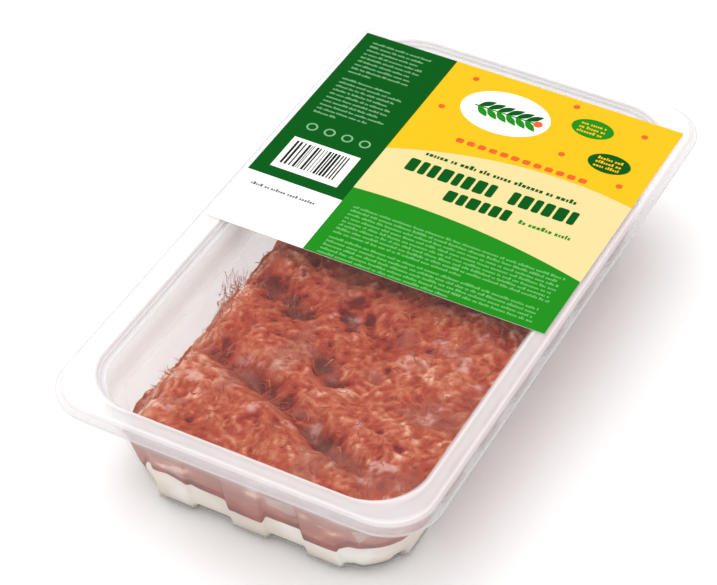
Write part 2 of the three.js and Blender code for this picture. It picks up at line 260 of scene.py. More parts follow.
def corner_radius(inset):
    """Plan radius of the corners: it grows with the inset, at one rate to the opening, then another."""
    rim = RIM_CORNER + (OPENING_CORNER - RIM_CORNER) * inset / OPENING_INSET
    share = (inset - OPENING_INSET) / (BASE_INSET - OPENING_INSET)
    wall = OPENING_CORNER + (BASE_CORNER - OPENING_CORNER) * share
    return np.where(inset <= 0, RIM_CORNER - inset, np.where(inset <= OPENING_INSET, rim, wall))


def quarter_at(level):
    """Straight half of the short side, arc, and length of a quarter of the outline at an inset."""
    radius = corner_radius(level)
    straight = RIM_HALF_WIDTH - level - radius
    arc = math.pi / 2 * radius
    return radius, straight, arc, straight + arc + RIM_HALF_LENGTH - level - radius


BASE_STRAIGHT = float(quarter_at(np.array(BASE_INSET))[1])
BASE_ARC = float(quarter_at(np.array(BASE_INSET))[2])
BASE_QUARTER = float(quarter_at(np.array(BASE_INSET))[3])
RIM_QUARTER = float(quarter_at(np.array(0.0))[3])
# Ends of the corner's stretch along a quarter of the wall's foot: it keeps clear of the feet beside it
CORNER_FROM = max(BASE_STRAIGHT, LAST_SHORT + CORNER_CLEAR)
CORNER_TO = min(BASE_STRAIGHT + BASE_ARC, BASE_QUARTER - LAST_LONG - CORNER_CLEAR)
KNOTS = (0.0, LAST_SHORT, CORNER_FROM, CORNER_TO, BASE_QUARTER - LAST_LONG, BASE_QUARTER)


def side_weight(along, pitch, last):
    """How much a distance from a side's middle belongs to one of its feet: 1 on it, 0 between, with
    smoothstep flanks."""
    away = np.abs(along - pitch * np.clip(np.round(along / pitch), 0, last))
    return 1 - smooth(away, (FOOT_WIDTH - FOOT_FLANK) / 2, (FOOT_WIDTH + FOOT_FLANK) / 2)


def foot_weight(along, footed):
    """How much a place along a quarter belongs to a foot. A footed corner has one of its own, and
    the recesses beside it keep a share of NOTCH."""
    back = BASE_QUARTER - along
    short = side_weight(along, SHORT_PITCH, SHORT_FEET)
    weight = np.maximum(short, side_weight(back, LONG_PITCH, LONG_FEET))
    if footed:
        flank = (CORNER_TO - CORNER_FROM) / CORNER_STEPS
        rise = smooth(along, CORNER_FROM, CORNER_FROM + flank)
        corner = rise * (1 - smooth(along, CORNER_TO - flank, CORNER_TO))
        beside = (along > LAST_SHORT - FOOT_FLANK) & (back > LAST_LONG - FOOT_FLANK)
        weight = np.maximum(weight, np.where(beside, mix(NOTCH, 1.0, corner), 0.0))
    return weight


def quarter_samples(step, flank_step):
    """Places along a quarter: steps no longer than `step` at the wall's foot and at the rim, with
    finer ones over each foot's flanks."""
    rim = (0.0, LAST_SHORT, *[float(v) for v in np.cumsum(quarter_at(np.array(0.0))[1:3])])
    rim += (RIM_QUARTER - LAST_LONG, RIM_QUARTER)
    places = []
    for k in range(len(KNOTS) - 1):
        longest = max(KNOTS[k + 1] - KNOTS[k], rim[k + 1] - rim[k])
        places.append(np.linspace(KNOTS[k], KNOTS[k + 1], int(np.ceil(longest / step)) + 1))
    if flank_step:
        fine = np.arange(0.0, BASE_QUARTER, flank_step)
        weight = np.maximum(foot_weight(fine, False), 0)
        places.append(fine[(weight > 0.001) & (weight < 0.999)])
    merged = np.unique(np.round(np.concatenate(places), 3))
    return merged[np.append(True, np.diff(merged) > 0.3 * (flank_step or step))]


class Run:
    """A closed run of places round the tray, anticlockwise from the middle of the near short side.
    Each place keeps its quarter's signs, its foot weight and how its distance along the quarter
    follows from the outline's straight, arc and quarter at any inset."""

    def __init__(self, samples):
        ends = [samples, samples[::-1]]
        along, sign_x, sign_y, foot = [], [], [], []
        for quarter, (sx, sy) in enumerate([(1, -1), (1, 1), (-1, 1), (-1, -1)]):
            part = ends[quarter % 2][:-1]
            along.append(part)
            sign_x.append(np.full(len(part), sx))
            sign_y.append(np.full(len(part), sy))
            foot.append(foot_weight(part, footed=quarter % 2 == 0))
        self.along = np.concatenate(along)
        self.sign_x = np.concatenate(sign_x)
        self.sign_y = np.concatenate(sign_y)
        self.foot = np.concatenate(foot)
        self.count = len(self.along)
        self._weights()

    def _weights(self):
        """Distance along a quarter = fixed + of_from * corner start + of_to * corner end + of_whole *
        quarter, straight between the knots."""
        a = self.along
        first, second, third = (np.clip((a - KNOTS[k]) / (KNOTS[k + 1] - KNOTS[k]), 0, 1) for k in (1, 2, 3))
        self.fixed = np.where(a <= KNOTS[1], a, (1 - first) * LAST_SHORT)
        self.fixed = np.where(a > KNOTS[3], -third * LAST_LONG, self.fixed)
        self.fixed = np.where(a > KNOTS[4], a - BASE_QUARTER, self.fixed)
        self.of_from = np.where(a <= KNOTS[2], first, 1 - second)
        self.of_to = np.where(a <= KNOTS[3], second, 1 - third)
        self.of_whole = third
        self.on_short = side_weight(a, SHORT_PITCH, SHORT_FEET)
        self.on_long = side_weight(BASE_QUARTER - a, LONG_PITCH, LONG_FEET)

    def plan(self, inset):
        """Plan points at insets of shape (..., count): on the rounded rectangle at that inset, and
        further in than the wall's foot on the line square to the wall. The feet of a side stand
        on its straight line, also where the corner's curve has begun."""
        level = np.minimum(inset, BASE_INSET)
        radius, straight, arc, quarter = quarter_at(level)
        start = np.maximum(straight, LAST_SHORT + CORNER_CLEAR)
        end = np.minimum(straight + arc, quarter - LAST_LONG - CORNER_CLEAR)
        along = self.fixed + self.of_from * start + self.of_to * end + self.of_whole * quarter
        turn = np.clip((along - straight) / radius, 0, math.pi / 2)
        reach = radius - (inset - level)
        x = np.minimum(along, straight) + reach * np.sin(turn)
        y = np.minimum(quarter - along, RIM_HALF_LENGTH - level - radius) + reach * np.cos(turn)
        x = mix(mix(x, along, self.on_short), RIM_HALF_WIDTH - inset, self.on_long)
        y = mix(mix(y, RIM_HALF_LENGTH - inset, self.on_short), quarter - along, self.on_long)
        return self.sign_x * x, self.sign_y * y


def bare_inset(z):
    """Inset of the wall without flutes: it swings in by a power of the depth below its top."""
    depth = (WALL_TOP - z) / (WALL_TOP - WALL_FOOT)
    return WALL_TOP_INSET + (BASE_INSET - WALL_TOP_INSET) * depth**WALL_CURVE


RIM_SECTION = [
    (bare_inset(SHOULDER), SHOULDER),
    (WALL_TOP_INSET, WALL_TOP),
    (WALL_TOP_INSET - LEDGE, LEDGE_LEVEL),
    (OPENING_INSET, RIM_HEIGHT - OPENING_EDGE),
    (OPENING_INSET - OPENING_EDGE, RIM_HEIGHT),
    (FLANGE_EDGE, RIM_HEIGHT),
    (0.0, RIM_HEIGHT - LIP_START),
    (-LIP_FLARE, RIM_HEIGHT - LIP_DROP),
]
FOOT_SECTION = np.array([
    (BASE_INSET + FOOT_REACH + FOOT_SLOPE, FLOOR),
    (BASE_INSET + FOOT_REACH, WALL),
    (BASE_INSET + BEND_START, WALL),
    (BASE_INSET + BEND, WALL + BEND),
    (BASE_INSET, WALL_FOOT),
    (bare_inset(WAIST), WAIST),
    (bare_inset(FLUTE_TOP), FLUTE_TOP),
    *RIM_SECTION,
])
RECESS_SECTION = np.array([
    (BASE_INSET + FOOT_REACH + FOOT_SLOPE, FLOOR),
    (BASE_INSET + FOOT_REACH, FLOOR),
    (BASE_INSET + FLUTE_DEPTH + BEND_START, FLOOR),
    (BASE_INSET + FLUTE_DEPTH + BEND, FLOOR + BEND),
    (bare_inset(RECESS_FOOT) + FLUTE_DEPTH, RECESS_FOOT),
    (bare_inset(WAIST) + FLUTE_DEPTH, WAIST),
    (bare_inset(FLUTE_TOP) + FLUTE_DEPTH, FLUTE_TOP),
    *RIM_SECTION,
])
# How far from each corner of a section its rounding starts
SECTION_ROUNDING = np.array(
    [1.2, 0.9, 1.0, 1.2, 2.0, 5.0, 2.5, 2.5, 0.5, 0.4, 0.35, 0.3, 0.25, 0.3, 0.35]
)
# How many points each of its corners becomes
CORNER_POINTS = 4
# Numbers, along the closed section, of the corners from the lip's end to the ledge on the upper face
FLANGE_CORNERS = (15, 20)


def thicken(section, distance):
    """A section moved outwards by a distance: each point goes along the sum of its two normals,
    divided by 1 + the cosine between them, which keeps both faces parallel."""
    step = np.diff(section, axis=0)
    unit = step / np.linalg.norm(step, axis=1, keepdims=True)
    before = np.vstack([unit[:1], unit])
    after = np.vstack([unit, unit[-1:]])
    normal = np.stack([before[:, 1] + after[:, 1], -(before[:, 0] + after[:, 0])], axis=1)
    scale = distance / (1 + np.sum(before * after, axis=1, keepdims=True))
    return section - normal * scale


def rounded(points, trims, count):
    """A polyline whose inner corners B become `count` points of (1-t)^2 A + 2 t (1-t) B + t^2 C, with
    A and C on its two sides, a trim away from B and never past half a side."""
    before, corner, after = points[:-2], points[1:-1], points[2:]
    trims = np.asarray(trims)[:, None]

    def towards(end):
        side = end - corner
        return corner + side * np.minimum(trims / np.linalg.norm(side, axis=1, keepdims=True), 0.48)

    t = np.linspace(0, 1, count)[None, :, None]
    start, end = towards(before)[:, None], towards(after)[:, None]
    curve = (1 - t) ** 2 * start + 2 * t * (1 - t) * corner[:, None] + t**2 * end
    return np.vstack([points[:1], curve.reshape(-1, 2), points[-1:]])


def wall_inset(z, foot):
    """Inset of the wall's inner face at a height, between a recess (foot 0) and a foot (foot 1)."""
    recess = np.interp(z, RECESS_SECTION[2:11, 1], RECESS_SECTION[2:11, 0])
    on_foot = np.interp(z, FOOT_SECTION[2:11, 1], FOOT_SECTION[2:11, 0])
    return mix(recess, on_foot, foot)


# Meshes


def grid_faces(rows, columns, closed, first=0):
    """Quads between neighbours of a grid of points numbered row by row; closed joins each row's end
    to its start."""
    i = np.arange(rows - 1)[:, None]
    j = np.arange(columns if closed else columns - 1)[None, :]
    a = i * columns + j
    b = i * columns + (j + 1) % columns
    return first + np.stack([a, b, b + columns, a + columns], axis=-1).reshape(-1, 4)


def fan_faces(ring, centre, outwards):
    """Triangles from a closed ring of points to a centre point."""
    after = np.roll(ring, -1)
    middle = np.full(len(ring), centre)
    order = (middle, ring, after) if outwards else (middle, after, ring)
    return np.stack(order, axis=1)


def make_mesh(name, points, faces, attributes=(), sharp=None):
    """A mesh from points in millimetres and arrays of triangles or quads, with float or colour values
    kept for its points."""
    mesh = bpy.data.meshes.new(name)
    loops = np.concatenate([part.ravel() for part in faces]).astype(np.int32)
    sizes = np.concatenate([np.full(len(part), part.shape[1]) for part in faces]).astype(np.int32)
    starts = np.concatenate([[0], np.cumsum(sizes)[:-1]]).astype(np.int32)
    mesh.vertices.add(len(points))
    mesh.vertices.foreach_set("co", (np.asarray(points) * MM).astype(np.float32).ravel())
    mesh.loops.add(len(loops))
    mesh.loops.foreach_set("vertex_index", loops)
    mesh.polygons.add(len(sizes))
    mesh.polygons.foreach_set("loop_start", starts)
    mesh.polygons.foreach_set("loop_total", sizes)
    mesh.polygons.foreach_set("use_smooth", np.ones(len(sizes), bool))
    for label, values in attributes:
        values = np.asarray(values, np.float32)
        kind, field = ("FLOAT_COLOR", "color") if values.ndim == 2 else ("FLOAT", "value")
        mesh.attributes.new(label, kind, "POINT").data.foreach_set(field, values.ravel())
    mesh.update(calc_edges=True)
    mesh.validate()
    if sharp is not None:
        mesh.set_sharp_from_angle(angle=math.radians(sharp))
    return mesh


def add_piece(mesh, material, stands_for):
    """An object at the origin with its finish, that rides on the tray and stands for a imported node."""
    piece = bpy.data.objects.new(mesh.name, mesh)
    bpy.context.scene.collection.objects.link(piece)
    mesh.materials.append(material)
    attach(piece, BODY)
    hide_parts(stands_for)
    return piece


def loft_mesh(name, x, y, z, ring_values=()):
    """A closed surface through rings of points (rows of the arrays), from the middle of its
    underside out, up and back to the middle of its top; both ends are closed by a fan. A kept value
    is given once for each ring, and is nil at the two middles."""
    rings, count = x.shape
    points = np.stack([x, y, z], axis=-1).reshape(-1, 3)
    ends = np.array([[0, 0, z[0, 0]], [0, 0, z[-1, 0]]])
    last = (rings - 1) * count + np.arange(count)
    faces = [
        grid_faces(rings, count, closed=True),
        fan_faces(np.arange(count), rings * count, outwards=False),
        fan_faces(last, rings * count + 1, outwards=True),
    ]
    attributes = [(label, np.append(np.repeat(values, count), [0, 0])) for label, values in ring_values]
    return make_mesh(name, np.vstack([points, ends]), faces, attributes)


# Materials


def add_node(tree, kind, inputs=None, stops=None, **settings):
    """Adds a node. Inputs go by name or number and are linked if they are sockets, else set as
    values; stops are a colour ramp's (place, colour) pairs; settings are the node's own fields."""
    made = tree.nodes.new(kind)
    for field, value in settings.items():
        setattr(made, field, value)
    for place, value in (inputs or {}).items():
        if isinstance(value, bpy.types.NodeSocket):
            tree.links.new(value, made.inputs[place])
        else:
            made.inputs[place].default_value = value
    if stops:
        elements = made.color_ramp.elements
        while len(elements) < len(stops):
            elements.new(1.0)
        for element, (place, colour) in zip(elements, stops):
            element.position = place
            element.color = (*colour, 1.0)
    return made


def new_material(name):
    """An empty node material and its tree."""
    material = bpy.data.materials.new(name)
    material.use_nodes = True
    material.node_tree.nodes.clear()
    return material, material.node_tree


def finish_material(tree, shader):
    """Sends a shader to the material's surface."""
    add_node(tree, "ShaderNodeOutputMaterial", {"Surface": shader.outputs[0]})


def object_place(tree):
    """Place in the object's own metres, where the solids are too."""
    return add_node(tree, "ShaderNodeTexCoord").outputs["Object"]


def texture(tree, scale, detail=2.0, **more):
    """Noise with a number of waves in a metre, from about 0 to 1."""
    inputs = {"Vector": object_place(tree), "Scale": scale, "Detail": detail, **more}
    return add_node(tree, "ShaderNodeTexNoise", inputs).outputs["Fac"]


def kept_value(tree, name, output="Fac"):
    """What the mesh keeps for its points under a name."""
    return add_node(tree, "ShaderNodeAttribute", attribute_name=name).outputs[output]


def times_plus(tree, value, factor, more):
    """value * factor + more."""
    inputs = {0: value, 1: factor, 2: more}
    return add_node(tree, "ShaderNodeMath", inputs, operation="MULTIPLY_ADD").outputs[0]


def ramp(tree, share, stops):
    """Colour for a share, between (place, colour) stops."""
    return add_node(tree, "ShaderNodeValToRGB", {"Fac": share}, stops=stops).outputs["Color"]


def from_to(tree, value, low, high):
    """A value from 0 to 1, stretched to run from low to high."""
    inputs = {"Value": value, "To Min": low, "To Max": high}
    return add_node(tree, "ShaderNodeMapRange", inputs).outputs["Result"]


def glazed(tree, share, colour, over):
    """A colour socket covered by a share of a flat colour, given as an sRGB hex value."""
    inputs = {"Factor": share, 6: colour, 7: (*linear(over), 1.0)}
    return add_node(tree, "ShaderNodeMix", inputs, data_type="RGBA").outputs[2]


def bumps(tree, height, strength, distance):
    """The normal over a relief of so many metres, softened by its strength."""
    inputs = {"Height": height, "Strength": strength, "Distance": distance}
    return add_node(tree, "ShaderNodeBump", inputs).outputs["Normal"]


def finish_principled(tree, colour, roughness, normal, more=None):
    """Closes a material with the Principled shader."""
    inputs = {"Base Color": colour, "Roughness": roughness, "Normal": normal, **(more or {})}
    finish_material(tree, add_node(tree, "ShaderNodeBsdfPrincipled", inputs))


def thermoformed_polypropylene(settings):
    """Natural polypropylene sheet, thermoformed: milky and translucent, satin, with the faint
    unevenness of drawn sheet."""
    material, tree = new_material("thermoformed_polypropylene")
    height = add_node(tree, "ShaderNodeSeparateXYZ", {0: object_place(tree)}).outputs["Z"]
    rim = {"Value": height, "From Min": 0.0, "From Max": RIM_HEIGHT * MM}
    share = add_node(tree, "ShaderNodeMapRange", rim).outputs["Result"]
    # The sheet is thickest where it was drawn least, in the flange, and gathers thick at the feet.
    thin = settings.milkiness
    covers = (
        (0.0, 0.75), (0.06, 0.5), (0.14, 0.5 * thin), (0.4, 0.5 * thin),
        (0.6, 0.9 * thin), (0.75, 1.9 * thin), (0.965, 1.1 * thin), (1.0, 1.5 * thin),
    )
    cover = ramp(tree, share, [(level, (hidden,) * 3) for level, hidden in covers])
    plastic = tuple(settings.plastic_colour)
    # The tint is painted shade: greyer at the feet, whose undersides lie in shade, greyer down the lip,
    # which faces down and out, and a little greyer over the flange.
    tint_with_painted_shade = ramp(tree, share, [
        (0.0, linear("#BDB1AB")), (0.07, linear("#D6CCC6")), (0.14, plastic), (0.9, plastic),
        (0.95, linear("#CFC7C8")), (0.985, linear("#D6CFD0")), (1.0, linear("#EEE8E8")),
    ])
    # Formed plastic whitens where it is bent most, along the folds of the rim.
    # Painted highlight: the sheet hides more, and so looks whiter, along the folds of the rim, where their
    # rounded edges catch the light.
    cover_and_highlight = times_plus(tree, kept_value(tree, "fold"), FOLD_HIGHLIGHT, cover)
    # Drawn sheet has soft waves about 9 mm long.
    waves = bumps(tree, texture(tree, 110.0), 0.35, 0.0006)
    finish_principled(tree, tint_with_painted_shade, 0.3, waves, {"IOR": 1.49, "Alpha": cover_and_highlight})
    return material


def absorbent_fleece():
    """Non-woven cellulose pad, embossed: matt white, with fine fibres and a pale stain of juice."""
    material, tree = new_material("absorbent_fleece")
    stops = [(0.3, linear("#D6C5B7")), (0.5, linear("#DED2C6")), (0.7, linear("#ECE7E1"))]
    stain = ramp(tree, texture(tree, 60.0, 3.0), stops)
    fibres = bumps(tree, texture(tree, 900.0, 4.0, Roughness=0.65), 0.4, 0.0003)
    finish_principled(tree, stain, 0.9, fibres)
    return material


def moist_meat(name, stops, roughness):
    """Raw minced poultry, ground: moist and slightly translucent. The tone kept on the mesh runs from
    deep red, which its hollows get as painted shade, over pink muscle to cream fat, the wet share is
    a grey-brown juice over it, and the gel share a pale set jelly."""
    material, tree = new_material(name)
    tone, wet, gel = (kept_value(tree, label) for label in ("tone", "wet", "gel"))
    # Muscle fibres are a few tenths of a millimetre wide, here drawn at 1 mm so that they show.
    fibres = texture(tree, 1000.0, 4.0, Distortion=1.6)
    # Patches of fatter and leaner meat are about 6 mm across.
    patches = texture(tree, 170.0)
    patchy = times_plus(tree, patches, 0.2, times_plus(tree, fibres, 0.5, -0.25))
    total = add_node(tree, "ShaderNodeMath", {0: patchy, 1: tone}, operation="ADD").outputs[0]
    centred = add_node(tree, "ShaderNodeMath", {0: total, 1: 0.1}, operation="SUBTRACT").outputs[0]
    juicy = glazed(tree, wet, ramp(tree, centred, stops), "#8F5648")
    clouded = glazed(tree, gel, juicy, "#D2A59B")
    gloss = from_to(tree, wet, roughness, 0.3)
    flesh = {
        "IOR": 1.38, "Specular IOR Level": 0.25, "Subsurface Weight": 0.2,
        "Subsurface Radius": (0.0025, 0.0011, 0.0008), "Subsurface Scale": 1.0,
    }
    finish_principled(tree, clouded, gloss, bumps(tree, fibres, 0.5, 0.0005), flesh)
    return material


def lidding_film():
    """Clear co-extruded lidding film, sealed taut: nothing but its reflections shows, stronger at a
    low angle, with the faint waves of stretched film."""
    material, tree = new_material("clear_lidding_film")
    # Stretched film waves over some 30 mm.
    waves = bumps(tree, texture(tree, 35.0, 1.0), 0.25, 0.001)
    # Each face throws back 0.016 + 0.4 (1 - cos)^5, two fifths of the usual rule, because a ray meets
    # four faces on its way in and out and a real film's faces lie too close to count twice.
    angle = {"Blend": 0.5, "Normal": waves}
    facing = add_node(tree, "ShaderNodeLayerWeight", angle).outputs["Facing"]
    grazing = add_node(tree, "ShaderNodeMath", {0: facing, 1: 5.0}, operation="POWER").outputs[0]
    share = times_plus(tree, grazing, 0.4, 0.016)
    white = (1.0, 1.0, 1.0, 1.0)
    clear = add_node(tree, "ShaderNodeBsdfTransparent", {"Color": white})
    shine = {"Color": white, "Roughness": 0.08, "Normal": waves}
    gloss = add_node(tree, "ShaderNodeBsdfGlossy", shine)
    both = {0: share, 1: clear.outputs[0], 2: gloss.outputs[0]}
    finish_material(tree, add_node(tree, "ShaderNodeMixShader", both))
    return material


def printed_paper():
    """Coated label paper, offset printed: flat inks kept on the mesh, satin, with a slight mottle."""
    material, tree = new_material("offset_printed_paper")
    mottle = texture(tree, 700.0)
    inputs = {0: kept_value(tree, "ink", "Color"), 1: from_to(tree, mottle, 0.97, 1.03)}
    ink = add_node(tree, "ShaderNodeVectorMath", inputs, operation="MULTIPLY").outputs["Vector"]
    relief = bumps(tree, mottle, 0.1, 0.0002)
    finish_principled(tree, ink, 0.5, relief, {"Specular IOR Level": 0.03})
    return material


def studio_floor(settings):
    """Matt painted board: plain and pale, with a grain too fine to notice."""
    material, tree = new_material("matt_painted_board")
    grain = bumps(tree, texture(tree, 400.0), 0.05, 0.0002)
    finish_principled(tree, (*settings.floor_colour, 1.0), 0.8, grain)
    return material


# Tray, pad and film


def split_straights(rows, clear=None):
    """Adds two rows in each straight of the upper face of the rim, a fifth in from its ends, or both
    with the value `clear` where one is given."""
    for corner in range(FLANGE_CORNERS[1] - 1, FLANGE_CORNERS[0] - 1, -1):
        last = CORNER_POINTS * corner
        ends = rows[last], rows[last + 1]
        more = [mix(*ends, 0.2), mix(*ends, 0.8)] if clear is None else [clear, clear]
        rows = np.insert(rows, [last + 1, last + 1], more, axis=0)
    return rows


def build_tray(settings):
    """The sheet: outer section out and up, inner section back, blended between foot and recess at
    each place of the run, with every corner rounded."""
    run = Run(quarter_samples(*TRAY_STEPS))
    outer_foot = thicken(FOOT_SECTION, WALL)
    outer_recess = thicken(RECESS_SECTION, WALL)
    trims = np.concatenate([SECTION_ROUNDING[1:], SECTION_ROUNDING[:0:-1]])
    foot = rounded(np.vstack([outer_foot, FOOT_SECTION[::-1]]), trims, CORNER_POINTS)
    recess = rounded(np.vstack([outer_recess, RECESS_SECTION[::-1]]), trims, CORNER_POINTS)
    inset = mix(recess[:, :1], foot[:, :1], run.foot[None, :])
    z = mix(recess[:, 1:], foot[:, 1:], run.foot[None, :])
    folds = np.zeros((len(inset), 1))
    folds[CORNER_POINTS * FLANGE_CORNERS[0] - 3 : CORNER_POINTS * FLANGE_CORNERS[1] + 1] = 1
    inset, z, folds = split_straights(inset), split_straights(z), split_straights(folds, clear=[0.0])
    x, y = run.plan(inset)
    mesh = loft_mesh("formed_tray", x, y, z, [("fold", folds[:, 0])])
    add_piece(mesh, thermoformed_polypropylene(settings), "tray")


def pad_edge(run):
    """Height of the pad's edge: turned up the near wall from PAD_LEFT on, flat elsewhere."""
    x, y = run.plan(np.full(run.count, BASE_INSET + FLUTE_DEPTH))
    near = smooth(-y, *(RIM_HALF_LENGTH - back for back in PAD_COMES_UP))
    right = smooth(x, PAD_LEFT - PAD_END, PAD_LEFT)
    left_rise = PAD_LEFT_RISE[0] * smooth(-x, *PAD_LEFT_RISE[1:])
    corner_rise = PAD_CORNER_RISE[0] * smooth(x, *PAD_CORNER_RISE[1:])
    sag = PAD_SAG * run.foot * (1 - smooth(-x, *PAD_SAG_ENDS[0])) * (1 - smooth(x, *PAD_SAG_ENDS[1]))
    edge = PAD_FLAT + near * right * (PAD_TURNED + left_rise + corner_rise - sag - PAD_FLAT)
    return edge + PAD_UNEVEN * near * (noise(x / PAD_WAVE, y / PAD_WAVE, SEED["pad_edge"]) - 0.5)


def build_pad():
    """The fleece: under the mince, up the wall to its edge with a rounded fold, and back inside."""
    run = Run(quarter_samples(*PAD_STEPS))
    edge = pad_edge(run)
    under = FLOOR + PAD_CLEAR
    top = FLOOR + GAP + PAD
    up = np.linspace(0, 1, 9)[:, None]
    outer_z = mix(under, edge, up)
    outer = wall_inset(outer_z, run.foot) - PAD_CLEAR
    bend = np.linspace(0, math.pi, 6)[1:-1, None]
    fold_z = edge + PAD / 2 * np.sin(bend)
    fold = wall_inset(edge, run.foot) - PAD_CLEAR + PAD / 2 * (1 - np.cos(bend))
    inner_z = mix(edge, top, up)
    inner = wall_inset(inner_z, run.foot) + PAD
    bottom = wall_inset(under, run.foot) + np.array([[9.0], [3.0]])
    inset = np.vstack([bottom, outer, fold, inner, inner[-1:] + 3.0])
    z = np.vstack([np.full((2, run.count), under), outer_z, fold_z, inner_z, inner_z[-1:]])
    x, y = run.plan(inset)
    mesh = loft_mesh("fleece_pad", x, y, z)
    add_piece(mesh, absorbent_fleece(), "absorbent_pad")


def side_patch(near, right, far, left):
    """Blended patch between four borders of plan points: the blend of left to right plus the blend of
    near to far, less the blend of the four corners."""
    u = np.linspace(0, 1, len(near))[None, :, None]
    v = np.linspace(0, 1, len(left))[:, None, None]
    across = (1 - u) * left[:, None] + u * right[:, None]
    along = (1 - v) * near[None] + v * far[None]
    corners = (1 - v) * ((1 - u) * near[0] + u * near[-1]) + v * ((1 - u) * far[0] + u * far[-1])
    return across + along - corners


def build_film():
    """The film: a thin sheet over the flange, its face a few hundredths of a millimetre uneven."""
    half_width, half_length = RIM_HALF_WIDTH - FILM_INSET, RIM_HALF_LENGTH - FILM_INSET
    radius = RIM_CORNER - FILM_INSET
    arc = np.linspace(math.pi / 4, 0, 9)[:-1]

    def side(half, reach, count):
        """Points along one side, from the middle of one corner's arc to the middle of the next."""
        straight = np.linspace(radius - half, half - radius, count)
        start = (radius - half) - radius * np.sin(arc)
        along = np.concatenate([start, straight, -start[::-1]])
        lift = reach - radius + radius * np.cos(arc)
        away = np.concatenate([lift, np.full(count, reach), lift[::-1]])
        return along, away

    across, near_away = side(half_width, half_length, FILM_GRID[0])
    length, side_away = side(half_length, half_width, FILM_GRID[1])
    near = np.stack([across, -near_away], axis=1)
    far = np.stack([across, near_away], axis=1)
    left = np.stack([-side_away, length], axis=1)
    right = np.stack([side_away, length], axis=1)
    plan = side_patch(near, right, far, left)
    rows, columns = plan.shape[:2]
    x, y = plan[..., 0].ravel(), plan[..., 1].ravel()
    uneven = noise(x / FILM_WAVE, y / FILM_WAVE, SEED["film"]) ** 2
    top = FILM_HIGH[2] - FILM_CLEAR - FILM_UNEVEN * uneven
    bottom = top - FILM_SHEET
    points = np.vstack([np.stack([x, y, top], axis=1), np.stack([x, y, bottom], axis=1)])
    faces = grid_faces(rows, columns, closed=False)
    number = np.arange(rows * columns).reshape(rows, columns)
    rim = np.concatenate([number[0, :-1], number[:-1, -1], number[-1, :0:-1], number[:0:-1, 0]])
    below = rows * columns
    after = np.roll(rim, -1)
    edge = np.stack([rim + below, after + below, after, rim], axis=1)
    mesh = make_mesh("clear_film", points, [faces, faces[:, ::-1] + below, edge], sharp=40)
    add_piece(mesh, lidding_film(), "lidding_film")


# Mince


def heap_height(x, y):
    """Height of the mince without its fine strands: a level heap falling to the left wall, with soft
    lumps, ridges where bundles of strands cross, and the dents."""
    ragged = 3.2 * (noise(x / 6, y / 3.6, SEED["ragged_side"]) - 0.5) * smooth(-x, 26, 31)
    sway = 2.5 * (noise(y / 11, 0.5, SEED["slope"]) - 0.5)
    slope = smooth(SLOPE_START - x + sway + ragged, 0, SLOPE_WIDTH)
    level = MEAT_LEVEL + LUMP_HEIGHT * (noise(x / LUMP, y / LUMP, SEED["heap"]) - 0.5)
    drop = (MEAT_LEVEL - LEFT_LEVEL) * slope
    bend = 3 * noise(x / 14, y / 14, SEED["bundle_bend"])
    first = noise(x / STRAND + bend, y / (2.2 * STRAND), SEED["first_bundles"])
    second = noise(x / (2 * STRAND), y / STRAND + bend, SEED["second_bundles"])
    first, second = (1 - np.abs(2 * field - 1) for field in (first, second))
    bundles = STRAND_HEIGHT * (np.maximum(first, second) - 0.6)
    return level - drop + 0.8 * bundles - dent_depth(x, y)


def dent_depth(x, y):
    """Sum of the dents: depth * exp(-(distance to the dent's line / width)^2)."""
    total = np.zeros(np.broadcast(x, y).shape)
    for (ax, ay), (bx, by), width, depth in DENTS:
        dx, dy = bx - ax, by - ay
        share = np.clip(((x - ax) * dx + (y - ay) * dy) / (dx * dx + dy * dy), 0, 1)
        away = np.hypot(x - ax - share * dx, y - ay - share * dy) / width
        total = total + depth * np.exp(-away * away)
    return total


def strand_paths(rng, count, length, points, spread):
    """Curved paths in plan: each turns by a random amount and swings once, (count, points, 2)."""
    x = rng.uniform(-RASTER_HALF[0], RASTER_HALF[0], count)
    y = rng.uniform(-RASTER_HALF[1], RASTER_HALF[1], count)
    grain = 2 * math.pi * noise(x / 26, y / 26, SEED["grain"])
    heading = grain + rng.normal(0, spread, count)
    t = np.linspace(-0.5, 0.5, points)
    curl = rng.normal(0, 1.3, count)[:, None] * t
    strength = rng.normal(0, 0.5, count)[:, None]
    swing = strength * np.sin(2 * math.pi * t + rng.uniform(0, 6.3, (count, 1)))
    angle = heading[:, None] + curl + swing
    reach = rng.uniform(*length, count)[:, None] / points
    step = np.stack([np.cos(angle), np.sin(angle)], axis=-1) * reach[..., None]
    path = np.cumsum(step, axis=1)
    path -= path.mean(axis=1, keepdims=True)
    return path + np.stack([x, y], axis=-1)[:, None]


def blur(field, sigma):
    """Soft blur of a raster: sum of shifted copies weighted by exp(-k^2 / 2 sigma^2), along both
    axes in turn."""
    reach = int(math.ceil(2.5 * sigma))
    weights = np.exp(-np.arange(-reach, reach + 1) ** 2 / (2 * sigma * sigma))
    weights /= weights.sum()
    for axis in (0, 1):
        size = field.shape[axis]
        spread = np.zeros_like(field)
        for shift, weight in zip(range(-reach, reach + 1), weights):
            spread += weight * np.take(field, np.clip(np.arange(size) + shift, 0, size - 1), axis=axis)
        field = spread
    return field


def fractal(x, y, width, seed):
    """Four octaves of noise from a width down, each half as wide and 0.6 as strong, from -1 to 1."""
    total, weight, sum_weight = 0.0, 1.0, 0.0
    for octave in range(4):
        turn = 0.7 * octave
        u = x * math.cos(turn) - y * math.sin(turn)
        v = x * math.sin(turn) + y * math.cos(turn)
        total = total + weight * (2 * noise(u / width, v / width, seed + octave) - 1)
        sum_weight += weight
        width, weight = width / 2, weight * 0.6
    return total / sum_weight * 1.6


